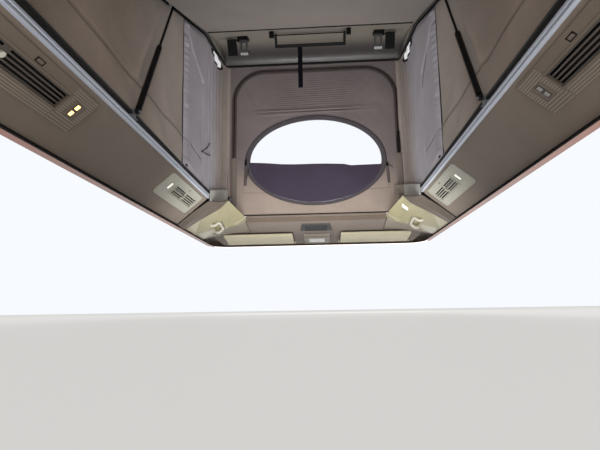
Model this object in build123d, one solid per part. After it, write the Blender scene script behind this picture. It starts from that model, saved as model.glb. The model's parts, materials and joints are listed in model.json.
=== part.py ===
from build123d import *
import os
from math import atan2, cos, degrees, hypot, radians, sin

# Roof of a camper van with its pop-up top raised, millimetres.
# +X to the right, +Y towards the windscreen, +Z up. The origin is the centre of the lower flange.

# Fixed roof: flange plane, deck beside the opening, upstand round it
HALF_WIDTH = 800
REAR_END, FRONT_END = -1890, 1660
DECK_Z, BEND_Y, NOSE_Y, NOSE_DECK_Z, HEADER_Z = 163, 800, 1310, 73, 30
SKIN = 2.5
FLANGE_WIDTH, FLANGE_THICK = 30, 4
BOLT_X, BOLT_Y, BOLT_R = 785, 1450, 4.5

# Opening in the roof and the upstand round it
OPEN_HALF, OPEN_REAR, OPEN_FRONT = 612, -1450, 1150
BEVEL_Y, BEVEL_HALF, BEVEL_Z = 940, 560, 163
UPSTAND_Z, UPSTAND_WALL, FRONT_LIP_Z = 188, 8, 128

# Hinge of the top at the rear, and its raised angle
HINGE_Y, HINGE_Z, HINGE_X, TILT = -1510, 178, 430, 22.4
HINGE_LINE = Axis((0, HINGE_Y, HINGE_Z), (1, 0, 0))

# Lifting shell, given closed
SHELL_REAR, SHELL_NOSE, SHELL_WALL = -1500, 1325, 5
SHELL_RIM_Z, NOSE_RIM_Z = 171, 79
KEDER_Z, KEDER_NOSE_Y, KEDER_NOSE_Z, KEDER_NOSE_HALF = 206, 1290, 88, 584

# Canvas, its rails and the gas struts
RAIL_X, RAIL_Z, RAIL_FRONT, RAIL_REAR = 600, 190, 785, -1445
CANVAS_X, CANVAS, CANVAS_FOOT_Z, FRONT_CANVAS_Y = 604, 3, 203, 1120
CREASE_FOOT_Y, CREASE_HEAD_Y = 300, 250
STRUT_X, FOOT_Y, FOOT_Z = 580, -255, 212
STRUT_ANGLE, STRUT_LENGTH, CYLINDER_LENGTH = 64.5, 726, 385
CYLINDER_R, ROD_R, PIN_R = 11, 5, 4

# Side lining: a slanted board from the rail down to the top of the side windows
LINER_TOP, LINER_LOW, LINER_THICK = (616, 157), (780, 19), 4
SLANT = atan2(LINER_TOP[1] - LINER_LOW[1], LINER_LOW[0] - LINER_TOP[0])
LINER_PLANE = Plane(origin=(LINER_TOP[0], 0, LINER_TOP[1]), x_dir=(0, 1, 0),
                    z_dir=(-sin(SLANT), 0, -cos(SLANT)))

nodes = {}


def lifted(y, z):
    """The raised place of a point (y, z) of the top that is given closed."""
    reach, angle = hypot(y - HINGE_Y, z - HINGE_Z), atan2(z - HINGE_Z, y - HINGE_Y) + radians(TILT)
    return HINGE_Y + reach * cos(angle), HINGE_Z + reach * sin(angle)


def raised(part):
    return part.rotate(HINGE_LINE, TILT)


def side_prism(points, x0, x1):
    """An outline in (y, z), extruded from x0 to x1."""
    return extrude(make_face(Polyline([(x0, y, z) for y, z in points], close=True)), x1 - x0, dir=(1, 0, 0))


def cross_prism(points, y0, y1):
    """An outline in (x, z), extruded from y0 to y1."""
    return extrude(make_face(Polyline([(x, y0, z) for x, z in points], close=True)), y1 - y0, dir=(0, 1, 0))


def plan_prism(points, z0, z1):
    """An outline in (x, y), extruded from z0 to z1."""
    return extrude(make_face(Polyline([(x, y, z0) for x, y in points], close=True)), z1 - z0, dir=(0, 0, 1))


def box(x0, x1, y0, y1, z0, z1):
    return Pos((x0 + x1) / 2, (y0 + y1) / 2, (z0 + z1) / 2) * Box(x1 - x0, y1 - y0, z1 - z0)


def bar(start, end, radius):
    """A round bar from start to end."""
    start, end = Vector(*start), Vector(*end)
    return extrude(Plane(origin=start, z_dir=end - start) * Circle(radius), (end - start).length)


def mirrored(part):
    return mirror(part, about=Plane.YZ)


def pair(part):
    """A right-hand part and its mirror image, as two solids of one node."""
    return Compound([*part.solids(), *mirrored(part).solids()])


def left_right(name, part):
    nodes[name + "_right"] = part
    nodes[name + "_left"] = mirrored(part)


def band(line, thickness):
    """A side outline: a line of (y, z) points and the same line raised by a thickness."""
    return line + [(y, z + thickness) for y, z in reversed(line)]


def rounded_plan(half, rear, front, rear_radius, front_radius, z0, z1):
    """An upright block with rounded corners in plan."""
    block = box(-half, half, rear, front, z0, z1)
    uprights = block.edges().filter_by(Axis.Z).sort_by(Axis.Y)
    block = fillet(uprights[:2], rear_radius)
    uprights = block.edges().filter_by(Axis.Z).sort_by(Axis.Y)
    return fillet(uprights[-2:], front_radius)


# Roof skin: one pressed steel panel, open below and cut out for the top
def roof_body(inset):
    top = DECK_Z - inset
    side = [(REAR_END + inset, -1), (REAR_END + 22 + inset, 80), (REAR_END + 100 + inset, top), (BEND_Y, top),
            (NOSE_Y, NOSE_DECK_Z - inset), (FRONT_END - 40, HEADER_Z + 14 - inset),
            (FRONT_END - inset, HEADER_Z - 14), (FRONT_END - inset, -1)]
    half = HALF_WIDTH - inset
    rise = [(half, -1), (half, 26), (half - 22, 88), (half - 60, 136 - inset), (half - 104, top)]
    crown = rise + [(-x, z) for x, z in reversed(rise)]
    plan = rounded_plan(half, REAR_END + inset, FRONT_END - inset, 90 - inset, 150 - inset, -1, 400)
    return plan & side_prism(side, -half - 10, half + 10) & cross_prism(crown, REAR_END - 10, FRONT_END + 10)


def opening_plan(grow, z0, z1):
    right = [(OPEN_HALF + grow, OPEN_REAR - grow), (OPEN_HALF + grow, BEVEL_Y + 0.1 * grow),
             (BEVEL_HALF + grow, OPEN_FRONT + grow)]
    return plan_prism(right + [(-x, y) for x, y in reversed(right)], z0, z1)


skin = roof_body(0) - roof_body(SKIN) - box(-900, 900, -2000, 2000, -5, 0)
skin -= opening_plan(UPSTAND_WALL + 1, 10, 400)
flange = rounded_plan(HALF_WIDTH, REAR_END, FRONT_END, 90, 150, 0, FLANGE_THICK)
flange -= rounded_plan(HALF_WIDTH - FLANGE_WIDTH, REAR_END + FLANGE_WIDTH, FRONT_END - FLANGE_WIDTH,
                       60, 120, -1, 9)
for x in (-BOLT_X, BOLT_X):
    for y in (-BOLT_Y, BOLT_Y):
        flange -= Pos(x, y, 0) * Cylinder(BOLT_R, 40)
nodes["roof_skin"] = skin + (flange & roof_body(0.01))

# Upstand: folded frame round the opening that the top closes over, with its foot on the deck
FOOT_WIDTH, FOOT_THICK = 24, 3
deck_slope = (DECK_Z - NOSE_DECK_Z) / (NOSE_Y - BEND_Y)
front_deck_z = DECK_Z - deck_slope * (OPEN_FRONT + 40 - BEND_Y)
deck_line = [(OPEN_REAR - 40, DECK_Z), (BEND_Y, DECK_Z), (OPEN_FRONT + 40, front_deck_z)]
frame_top = [(OPEN_FRONT + 40, FRONT_LIP_Z - 12), (BEVEL_Y, BEVEL_Z), (BEND_Y, UPSTAND_Z),
             (OPEN_REAR - 40, UPSTAND_Z)]
wall = opening_plan(UPSTAND_WALL, 60, 300) & side_prism(deck_line + frame_top, -700, 700)
foot = opening_plan(FOOT_WIDTH, 60, 300) & side_prism(band(deck_line, FOOT_THICK), -700, 700)
nodes["opening_frame"] = wall + foot - opening_plan(0, 50, 310)

# Aluminium rails: a lower lip, a groove and a wide flat band, with the canvas's seals on top
rail_section = [(OPEN_HALF - 0.2, RAIL_Z - 26), (RAIL_X - 3, RAIL_Z - 26), (RAIL_X - 5, RAIL_Z - 24),
                (RAIL_X - 5, RAIL_Z - 19), (RAIL_X + 2, RAIL_Z - 18), (RAIL_X + 2, RAIL_Z - 15),
                (RAIL_X - 4, RAIL_Z - 14), (RAIL_X - 6, RAIL_Z - 11), (RAIL_X - 6, RAIL_Z - 4),
                (RAIL_X - 2, RAIL_Z), (OPEN_HALF - 0.2, RAIL_Z)]
left_right("rail", cross_prism(rail_section, RAIL_REAR, RAIL_FRONT))
seal = box(RAIL_X + 1, OPEN_HALF - 1, RAIL_REAR, RAIL_FRONT, RAIL_Z, CANVAS_FOOT_Z)
nodes["rail_seals"] = pair(seal)

# Side linings, cut out for the air vents
# Columns: first and last place along the roof, corner radius
VENTS = {"front": (245, 722, 16), "rear": (-1150, -425, 26)}
VENT_TOP, VENT_LOW, VENT_PROUD, VENT_DEEP = 4, 136, 5, 10


def on_liner(u0, u1, s0, s1, radius, w0, w1):
    """A rounded plate on the lining: u along the roof, s down the slant, w out of its face."""
    face = Pos((u0 + u1) / 2, (s0 + s1) / 2) * RectangleRounded(u1 - u0, s1 - s0, radius)
    return extrude(LINER_PLANE.offset(w0) * face, w1 - w0)


up = (sin(SLANT) * LINER_THICK, cos(SLANT) * LINER_THICK)
liner_section = [LINER_TOP, LINER_LOW, (LINER_LOW[0] + up[0], LINER_LOW[1] + up[1]),
                 (LINER_TOP[0] + up[0], LINER_TOP[1] + up[1])]
liner = cross_prism(liner_section, REAR_END + 160, BEND_Y - 10)
for u0, u1, radius in VENTS.values():
    liner -= on_liner(u0 + 6, u1 - 6, VENT_TOP + 6, VENT_LOW - 6, radius - 6, -20, 20)
left_right("side_lining", liner)

# Air vents: a moulded plate proud of the lining, with a framed field of tilted slats on each side
# of a divider, which carries a round thumb knob
SLOT, SLOT_TILT = 8, 28
# Columns: vent, first and last place of each field of slats, their first height, pitch and count
FIELDS = {"front": ((385, 525, 45, 9.2, 5), (545, 680, 46, 12, 4)),
          "rear": ((-1020, -800, 47, 12, 4), (-775, -555, 47, 12, 4))}
for name, (u0, u1, radius) in VENTS.items():
    first, last = FIELDS[name][0][0], FIELDS[name][-1][1]
    vent = on_liner(u0, u1, VENT_TOP, VENT_LOW, radius, 0.2, VENT_PROUD)
    vent += LINER_PLANE * box(u0 + 38, u1 - 38, VENT_TOP + 18, VENT_LOW - 16, -VENT_DEEP, 1)
    vent -= LINER_PLANE * box(u0 + 42, u1 - 42, VENT_TOP + 22, VENT_LOW - 20, -VENT_DEEP - 1, -4)
    vent += LINER_PLANE * box(first - 14, last + 14, 34, 102, 2, VENT_PROUD + 2)
    vent -= LINER_PLANE * box(first - 6, last + 6, 41, 95, 2, 9)
    for start, end, height, pitch, count in FIELDS[name]:
        for row in range(count):
            slot = Pos((start + end) / 2, height + SLOT / 2 + row * pitch) * Rot(SLOT_TILT, 0, 0)
            vent -= LINER_PLANE * (slot * Box(end - start, 0.74 * SLOT, 40))
    middle = (FIELDS[name][0][1] + FIELDS[name][1][0]) / 2
    vent += extrude(LINER_PLANE.offset(1.5) * Pos(middle, 68) * Circle(8), 7)
    if name == "front":
        vent -= LINER_PLANE * box(307, 345, 42, 87, 3, 9)
        vent += extrude(LINER_PLANE.offset(4) * Pos(521, 22) * Circle(6), 4)
    else:
        vent -= LINER_PLANE * box(-515, -467, 39, 95, 3, 9)
        vent -= LINER_PLANE * box(-720, -688, 16, 31, 3, 9)
        vent += LINER_PLANE * box(-715, -693, 19, 28, 2.8, 6)
    left_right("vent_" + name, vent)

# Rear lining: from the opening back to the tailgate header
rear_line = [(REAR_END + 30, 12), (REAR_END + 80, 40), (OPEN_REAR - 90, 122), (OPEN_REAR - 12, 150)]
nodes["rear_lining"] = side_prism(band(rear_line, 4), -600, 600)

# Front corners: from the end of the rail round to the cab
# Columns: place along the roof, then x and z of the inner edge, two folds and the lower edge
CORNER = ((795, 602, 152, 612, 147, 700, 84, 780, 19), (930, 522, 186, 568, 140, 686, 74, 778, 17),
          (1134, 449, 120, 540, 88, 664, 48, 774, 13), (1152, 449, 84, 540, 74, 664, 46, 774, 13),
          (1320, 449, 56, 540, 50, 660, 34, 768, 10))


def corner_line(y):
    """The corner's lower face across the roof at one place: four points (x, z)."""
    for (y0, *low), (y1, *high) in zip(CORNER, CORNER[1:]):
        if y0 <= y <= y1:
            share = (y - y0) / (y1 - y0)
            flat = [a + (b - a) * share for a, b in zip(low, high)]
            return list(zip(flat[0::2], flat[1::2]))


def corner_slab(stations):
    """A folded plate on the corner's face. Columns: place along the roof, offsets of its two faces."""
    grids = []
    for face in (1, 2):
        grids.append([[(x + 0.6 * row[face], row[0], z + 0.8 * row[face]) for x, z in corner_line(row[0])]
                      for row in stations])
    low, high = grids
    patches = []
    for grid in grids:
        for row, following in zip(grid, grid[1:]):
            patches += [(row[k], row[k + 1], following[k + 1], following[k]) for k in range(len(row) - 1)]
    for k in range(len(low[0]) - 1):
        patches += [(grid_low[k], grid_low[k + 1], grid_high[k + 1], grid_high[k])
                    for grid_low, grid_high in ((low[0], high[0]), (low[-1], high[-1]))]
    for k in range(len(low) - 1):
        patches += [(low[k][edge], low[k + 1][edge], high[k + 1][edge], high[k][edge]) for edge in (0, -1)]
    faces = []
    for a, b, c, d in patches:
        faces += [make_face(Polyline(*corners, close=True)).face() for corners in ((a, b, c), (a, c, d))]
    return Solid(Shell(faces))


# The taupe cover at the end of the rail bulges and laps over the cream panel ahead of it
left_right("corner_cover", corner_slab(((796, -4, 0), (860, -12, -8), (927, -6, -2))))

# The cream panel is dished behind the assist handle
DISH, DISH_DEEP = (588, 652, 1078, 1206), 16
corner = corner_slab([(place, 0, 4) for place in (906, 930, 1134, 1152, 1320)])
dish_stations = (1050, 1134, 1152, 1240)


def dish(grow):
    x0, x1, y0, y1 = DISH
    block = box(x0 - grow, x1 + grow, y0 - grow, y1 + grow, -50, 200)
    return fillet(block.edges().filter_by(Axis.Z), 18 + grow)


corner += corner_slab([(place, 1, DISH_DEEP + 3) for place in dish_stations]) & dish(3)
corner -= corner_slab([(place, -9, DISH_DEEP) for place in dish_stations]) & dish(0)
# Columns: across and along the roof, on the line where the cream panel ends over the cab
PANEL_END = ((440, 1136), (600, 1188), (690, 1262), (800, 1300), (900, 1300))
corner &= plan_prism([(400, 880), (900, 880)] + list(reversed(PANEL_END)) + [(400, 1136)], -50, 260)
left_right("corner_panel", corner)
trim = corner_slab([(place, 5, 9) for place in (1120, 1134, 1152, 1320)])
trim &= plan_prism([(400, 1400), (400, 1140)] + [(x, y + 4) for x, y in PANEL_END] + [(900, 1400)], -50, 260)
left_right("corner_trim", trim)

# Cab lining: front lip below the canvas, then the slope over the front seats with its header
cab_face = [(1116, 121), (1142, 118), (1144, 87), (1158, 84), (1322, 56), (1540, 22), (1630, 13)]
cab_back = [(1630, 17), (1540, 26), (1322, 60), (1158, 89), (1148.5, 92), (1147, 123), (1116, 126)]
cab = side_prism(cab_face + cab_back, -740, 740)
keep = [(446, 1100), (446, 1322), (735, 1324), (690, 1640)]
cab &= plan_prism(keep + [(-x, y) for x, y in reversed(keep)], -20, 200)
RECESS, RECESS_DEEP = (160, 645, 1333, 1541), 8


def visor_recess(grow):
    x0, x1, y0, y1 = RECESS
    block = box(x0 - grow, x1 + grow, y0 - grow, y1 + grow, -40, 120)
    block = fillet(block.edges().filter_by(Axis.Z), 10 + grow)
    return block + mirrored(block)


slope = cab_face[4:6]
(rear_y, rear_z), (front_y, front_z) = slope
slope = [(2 * rear_y - front_y, 2 * rear_z - front_z), (2 * front_y - rear_y, 2 * front_z - rear_z)]
above_recess = side_prism(band(slope, RECESS_DEEP + 3), -740, 740) & visor_recess(3)
below_recess = side_prism(band([(y, z - 20) for y, z in slope], 20 + RECESS_DEEP), -740, 740) & visor_recess(0)
cab = cab + above_recess - below_recess
nodes["cab_lining"] = cab

# Sun visors: soft boards on a rod along the cab lining's front edge
VISOR_X, VISOR_REAR, VISOR_HINGE, VISOR_THICK, VISOR_ROD = (165, 640), 1340, (1530, 10), 16, 3.5
VISOR_TILT = degrees(atan2(56 - 22, 1540 - 1322))
visor = box(*VISOR_X, VISOR_REAR - VISOR_HINGE[0], 8, -VISOR_THICK / 2, VISOR_THICK / 2)
visor = fillet(visor.edges().filter_by(Axis.Z), 7)
visor = chamfer(visor.edges().filter_by(Axis.X), 4)
visor -= bar((VISOR_X[0] - 5, 0, 0), (VISOR_X[1] + 5, 0, 0), VISOR_ROD + 0.1)
left_right("sun_visor", Pos(0, *VISOR_HINGE) * Rot(-VISOR_TILT, 0, 0) * visor)
rod_ends = bar((VISOR_X[0] - 14, *VISOR_HINGE), (VISOR_X[1] + 14, *VISOR_HINGE), VISOR_ROD)
for x in (VISOR_X[0] - 14, VISOR_X[1] + 6):
    rod_ends += box(x, x + 8, VISOR_HINGE[0] - 7, VISOR_HINGE[0] + 7, VISOR_HINGE[1] - 6, 22)
nodes["visor_rods"] = pair(rod_ends)

# Overhead console: a beige module between the visors with a lens, a dark slotted cover behind
module = side_prism([(1386, 45), (1392, 31), (1416, 23), (1546, 1), (1560, 5), (1560, 19), (1540, 21)], -92, 92)
module &= cross_prism([(92, 60), (92, 20), (80, -2), (-80, -2), (-92, 20), (-92, 60)], 1380, 1570)
module -= side_prism([(1440, 18), (1440, 24), (1520, 10), (1520, 4)], -58, 58)
nodes["overhead_console"] = module
grille = side_prism([(1184, 79), (1190, 71), (1304, 51.5), (1312, 57)], -106, 106)
grille &= plan_prism([(-88, 1180), (88, 1180), (106, 1312), (-106, 1312)], 0, 200)
for y in range(1206, 1300, 18):
    grille -= box(-74, 74, y, y + 7, 71.5 - (y - 1190) * 0.171 - 5, 71.5 - (y - 1190) * 0.171 + 2)
nodes["console_grille"] = grille

# Assist handles on the corner panels: a bow from foot to foot, over the dish
HANDLE_WIDE, HANDLE_THICK, HANDLE_DROP = 22, 17, 36
feet, bow = ((672, 1058), (668, 1228)), (604, 1140)


def below_corner(x, y, drop):
    """A point under the corner's face by a drop."""
    for (xa, za), (xb, zb) in zip(corner_line(y), corner_line(y)[1:]):
        if xa <= x <= xb:
            return (x, y, za + (zb - za) * (x - xa) / (xb - xa) - drop)


grip = ThreePointArc(below_corner(*feet[0], -6), below_corner(*bow, HANDLE_DROP), below_corner(*feet[1], -6))
across = (grip % 0).cross(grip @ 0 - grip.arc_center)
section = chamfer(Rectangle(HANDLE_WIDE, HANDLE_THICK).vertices(), 5)
stations = [Plane(origin=grip @ (k / 8), x_dir=across, z_dir=grip % (k / 8)) for k in range(9)]
handle = loft([place * section for place in stations], ruled=True)
left_right("grab_handle", (handle - nodes["corner_panel_right"]).solids().sort_by(SortBy.VOLUME)[-1])

# Lifting shell: a moulded lid with domed top, open below, its rim dipping over the nose
# Columns: place along the roof, half width, heights of the shoulder, the crest and the crown
SHELL = ((-1500, 560, 158, 190, 200), (-1475, 655, 172, 222, 235), (-1400, 692, 190, 265, 281),
         (-1150, 694, 215, 312, 331), (-900, 694, 225, 327, 346), (300, 694, 225, 327, 346),
         (700, 694, 210, 308, 328), (1000, 694, 176, 252, 274), (1200, 684, 128, 184, 208),
         (1295, 625, 97, 132, 152), (1325, 540, 85, 108, 122))


def shell_section(y, half, shoulder, crest, crown):
    rise = crest - shoulder
    right = [(half, 40), (half - 8, shoulder), (half - 14, shoulder + 0.42 * rise), (half - 34, shoulder + 0.74 * rise),
             (half - 64, shoulder + 0.91 * rise), (half - 108, crest)]
    right += [(share * (half - 108), crown - (crown - crest) * share ** 2) for share in (0.75, 0.5, 0.25)]
    return make_face(Polyline([(x, y, z) for x, z in right] + [(0, y, crown)]
                              + [(-x, y, z) for x, z in reversed(right)], close=True))


def shell_body(inset):
    rows = [(y, half - inset, shoulder - inset, crest - inset, crown - inset)
            for y, half, shoulder, crest, crown in SHELL]
    rows[0] = (rows[0][0] + inset, *rows[0][1:])
    rows[-1] = (rows[-1][0] - inset, *rows[-1][1:])
    return loft([shell_section(*row) for row in rows], ruled=True)


rim_side = [(SHELL_REAR - 10, SHELL_RIM_Z), (BEND_Y, SHELL_RIM_Z), (SHELL_NOSE, NOSE_RIM_Z),
            (SHELL_NOSE + 10, NOSE_RIM_Z), (SHELL_NOSE + 10, 500), (SHELL_REAR - 10, 500)]
above_rim = side_prism(rim_side, -750, 750)
nodes["shell"] = raised((shell_body(0) - shell_body(SHELL_WALL)) & above_rim)

# Black keder frame inside the shell's rim, which holds the canvas's upper edge
def keder_plan(grow, z0, z1):
    right = [(RAIL_X + grow, -1426 - grow), (RAIL_X + grow, BEND_Y),
             (KEDER_NOSE_HALF + grow, KEDER_NOSE_Y - 7 + grow)]
    return plan_prism(right + [(-x, y) for x, y in reversed(right)], z0, z1)


keder = keder_plan(14, 60, 300) - keder_plan(0, 50, 310)
keder_line = [(-1445, KEDER_Z), (BEND_Y, KEDER_Z), (KEDER_NOSE_Y + 10, KEDER_NOSE_Z)]
nodes["keder_frame"] = raised(keder & side_prism(band(keder_line, 10), -700, 700))

# Edge lining: a strip round the top above the keder frame, out to the shell's wall
edge_inner = [(545, -1396), (545, 650), (579.5, 656), (579.5, 1284)]
edge_line = [(-1500, KEDER_Z + 30), (BEND_Y, KEDER_Z + 30), (KEDER_NOSE_Y + 30, KEDER_NOSE_Z + 24)]
edge = side_prism(band(edge_line, 2.6), -740, 740) & shell_body(SHELL_WALL + 1)
edge -= plan_prism(edge_inner + [(-x, y) for x, y in reversed(edge_inner)], 0, 400)
nodes["top_edge_lining"] = raised(edge)

# Ceiling board of the top, and the lining of its nose
CEILING_HALF, CEILING_TILT = 550, 1.2
ceiling = box(-CEILING_HALF, CEILING_HALF, -1400, 639, 0, 14)
ceiling = fillet(ceiling.edges().filter_by(Axis.Z), 30)
nodes["ceiling_panel"] = raised(Pos(0, 0, 171) * Rot(CEILING_TILT, 0, 0) * ceiling)
nose_front = ThreePointArc((960, 208), (1115, 190), (1236, 150)) + ThreePointArc((1236, 150), (1266, 128), (1281, 100))
nose_low = Line((560, 212), (960, 208)) + nose_front
nose = make_face(nose_low + Pos(0, 4) * nose_low + Line((560, 212), (560, 216)) + Line((1281, 100), (1281, 104)))
# Its sides turn down to the keder frame
cheek_low = Line((1281, 100), (1276, 99)) + Line((1276, 99), (BEND_Y, 207.5)) + Line((BEND_Y, 207.5), (640, 211.2))
cheek = make_face(Line((640, 211.2), (960, 208)) + nose_front + cheek_low)
across_top = Plane(origin=(-578, 0, 0), x_dir=(0, 1, 0), z_dir=(1, 0, 0))
cheek = extrude(across_top * cheek, 3.5)
nodes["nose_lining"] = raised(extrude(across_top * nose, 1156) + cheek + mirrored(cheek))
nodes["top_board_edge"] = raised(box(-545, 545, 640, 647, 180, 203))

# Pull bar: a flat frame that hangs from the nose lining on a rod between two end blocks, with the
# webbing strap from its middle; it folds up against the lining
BAR_HALF, BAR_PIVOT, BAR_REACH, BAR_HANG = 222, (827, 188), 62, 64
blocks = box(BAR_HALF - 14, BAR_HALF + 10, BAR_PIVOT[0] - 16, BAR_PIVOT[0] + 16, BAR_PIVOT[1] - 12, 209)
shaft = bar((-BAR_HALF, *BAR_PIVOT), (BAR_HALF, *BAR_PIVOT), 3)
nodes["pull_bar_mount"] = raised(blocks + mirrored(blocks) + shaft)
arm = box(BAR_HALF - 32, BAR_HALF - 18, BAR_PIVOT[0] - 7, BAR_PIVOT[0] + BAR_REACH + 7,
          BAR_PIVOT[1] - 7, BAR_PIVOT[1] + 7)
grip_bar = box(18 - BAR_HALF, BAR_HALF - 18, BAR_PIVOT[0] + BAR_REACH - 8, BAR_PIVOT[0] + BAR_REACH + 7,
               BAR_PIVOT[1] - 8, BAR_PIVOT[1] + 7)
pull_bar = arm + mirrored(arm) + grip_bar
pull_bar -= bar((-BAR_HALF, *BAR_PIVOT), (BAR_HALF, *BAR_PIVOT), 3.1)
nodes["pull_bar"] = raised(pull_bar.rotate(Axis((0, *BAR_PIVOT), (1, 0, 0)), -BAR_HANG))
STRAP_X, STRAP_WIDTH, STRAP_DROP = -60, 26, 262
hang = radians(BAR_HANG)
strap_y, strap_z = lifted(BAR_PIVOT[0] + BAR_REACH * cos(hang), BAR_PIVOT[1] - BAR_REACH * sin(hang))
nodes["pull_strap"] = box(STRAP_X - STRAP_WIDTH / 2, STRAP_X + STRAP_WIDTH / 2, strap_y - 1.5, strap_y + 1.5,
                          strap_z - STRAP_DROP, strap_z - 11.5)

# Latches of the top: a housing on the nose lining with a bent steel hook, and a lever that hangs
# from a cross pin and folds up against the lining
LATCH_X, LATCH_PIVOT, LATCH_REACH, LATCH_HANG = 440, (910, 186), 84, 75
housing = box(LATCH_X - 68, LATCH_X - 8, LATCH_PIVOT[0] - 12, LATCH_PIVOT[0] + 66, 190, 207.5)
housing += box(LATCH_X - 16, LATCH_X - 8, LATCH_PIVOT[0] - 12, LATCH_PIVOT[0] + 12, LATCH_PIVOT[1] - 8, 200)
housing += bar((LATCH_X - 12, *LATCH_PIVOT), (LATCH_X + 54, *LATCH_PIVOT), PIN_R)
nodes["latch_housings"] = raised(pair(housing))
hook_side = [(926, 189.8), (926, 120), (936, 106), (962, 106), (972, 114), (972, 134), (964, 134), (962, 116),
             (940, 116), (934, 124), (934, 189.8)]
hook = side_prism(hook_side, LATCH_X - 64, LATCH_X - 18)
hook -= box(LATCH_X - 52, LATCH_X - 30, 920, 940, 134, 176)
nodes["top_latch_hooks"] = raised(pair(hook))
lever = box(LATCH_X, LATCH_X + 54, LATCH_PIVOT[0] - 9, LATCH_PIVOT[0] + LATCH_REACH,
            LATCH_PIVOT[1] - 9, LATCH_PIVOT[1] + 8)
lever = fillet(lever.edges().filter_by(Axis.X), 5)
lever -= bar((LATCH_X - 12, *LATCH_PIVOT), (LATCH_X + 60, *LATCH_PIVOT), PIN_R + 0.1)
left_right("latch_lever", raised(lever.rotate(Axis((0, *LATCH_PIVOT), (1, 0, 0)), -LATCH_HANG)))

# Canvas: side panels, front gussets, and the front panel with its oval window
lift_rear, lift_bend = lifted(-1400, KEDER_Z), lifted(BEND_Y, KEDER_Z)
lift_nose = lifted(KEDER_NOSE_Y, KEDER_NOSE_Z)


def rim_height(y):
    """Height of the raised keder frame's underside at a place along the roof."""
    first, last = (lift_rear, lift_bend) if y <= lift_bend[0] else (lift_bend, lift_nose)
    return first[1] + (y - first[0]) * (last[1] - first[1]) / (last[0] - first[0])


side_outline = [(-1415, CANVAS_FOOT_Z), (CREASE_FOOT_Y - 1, CANVAS_FOOT_Z),
                (CREASE_HEAD_Y - 1, rim_height(CREASE_HEAD_Y) - 2), (-1415, rim_height(-1415) - 2)]
left_right("canvas_side", side_prism(side_outline, CANVAS_X, CANVAS_X + CANVAS))


def cloth(corners):
    """A flat triangle of canvas, thickened sideways."""
    return extrude(make_face(Polyline(corners, close=True)), CANVAS, dir=(1, 0, 0))


gusset_foot = [(CANVAS_X, CREASE_FOOT_Y, CANVAS_FOOT_Z), (CANVAS_X, RAIL_FRONT, CANVAS_FOOT_Z),
               (CANVAS_X - 5, 960, 196), (CANVAS_X - 50, FRONT_CANVAS_Y, 132)]
gusset_head = [(CANVAS_X, CREASE_HEAD_Y, rim_height(CREASE_HEAD_Y) - 2), (CANVAS_X, lift_bend[0], lift_bend[1] - 2),
               (CANVAS_X - 20, FRONT_CANVAS_Y, rim_height(FRONT_CANVAS_Y) - 2)]
(f0, f1, f2, f3), (h0, h1, h2) = gusset_foot, gusset_head
triangles = [(f0, f1, h1), (f0, h1, h0), (f1, f2, h1), (f2, h2, h1), (f2, f3, h2)]
gusset = cloth(triangles[0])
for corners in triangles[1:]:
    gusset += cloth(corners)
left_right("canvas_gusset", gusset)

# The door's arch runs down to the hem on both sides
ARCH_X, ARCH_HALF, ARCH_TOP_Z, ARCH_R, ZIP, HEM_Z = 15, 530, 1137, 215, 30, 129
OVAL_Z, OVAL_HALF, OVAL_RISE = 480, 432, 276
front = [(CANVAS_X - 52, HEM_Z), (CANVAS_X - 22, rim_height(FRONT_CANVAS_Y) - 4)]
front_face = cross_prism(front + [(-x, z) for x, z in reversed(front)], FRONT_CANVAS_Y, FRONT_CANVAS_Y + CANVAS)
front_plane = Plane(origin=(0, FRONT_CANVAS_Y, 0), x_dir=(1, 0, 0), z_dir=(0, -1, 0))


def arch(inset, grow):
    """The arched door of the front panel, as a plate thicker than the canvas by a growth."""
    half, top = ARCH_HALF - inset, ARCH_TOP_Z - inset
    outline = Pos(ARCH_X, top - 700) * RectangleRounded(2 * half, 1400, ARCH_R - inset)
    outline &= Pos(0, HEM_Z + 500) * Rectangle(1200, 1000)
    return extrude(front_plane.offset(grow) * outline, -CANVAS - 2 * grow)


nodes["canvas_front"] = front_face - arch(0, 5)
oval = front_plane.offset(5) * Pos(0, OVAL_Z) * Ellipse(OVAL_HALF, OVAL_RISE)
nodes["canvas_door"] = arch(ZIP, 0) - extrude(oval, -20)
nodes["zip_band"] = arch(0.5, 0) - arch(ZIP - 0.5, 5)

# Gas struts: cylinder on the rail's foot bracket, rod to the shell's bracket
direction = (cos(radians(STRUT_ANGLE)), sin(radians(STRUT_ANGLE)))


def on_strut(reach):
    return (STRUT_X, FOOT_Y + reach * direction[0], FOOT_Z + reach * direction[1])


def eye(place, outer, width):
    y, z = place[1], place[2]
    return bar((STRUT_X - width / 2, y, z), (STRUT_X + width / 2, y, z), outer)


pin_hole = bar((STRUT_X - 20, FOOT_Y, FOOT_Z), (STRUT_X + 20, FOOT_Y, FOOT_Z), PIN_R + 0.1)
cylinder = bar(on_strut(16), on_strut(CYLINDER_LENGTH), CYLINDER_R) + bar(on_strut(6), on_strut(18), 7)
cylinder += eye(on_strut(0), 9, 12)
cylinder = cylinder - pin_hole - bar(on_strut(40), on_strut(CYLINDER_LENGTH + 1), ROD_R + 0.3)
left_right("strut_cylinder", cylinder)
top_pin = on_strut(STRUT_LENGTH)
strut_rod = bar(on_strut(CYLINDER_LENGTH - 40), on_strut(STRUT_LENGTH - 6), ROD_R) + eye(top_pin, 9, 12)
strut_rod -= bar((STRUT_X - 20, *top_pin[1:]), (STRUT_X + 20, *top_pin[1:]), PIN_R + 0.1)
left_right("strut_rod", strut_rod)
foot_bracket = box(588.5, 594.5, FOOT_Y - 10, FOOT_Y + 10, RAIL_Z + 0.2, FOOT_Z + 8)
foot_bracket += box(588.5, RAIL_X + 0.8, FOOT_Y - 26, FOOT_Y + 26, RAIL_Z + 0.2, RAIL_Z + 3)
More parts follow.
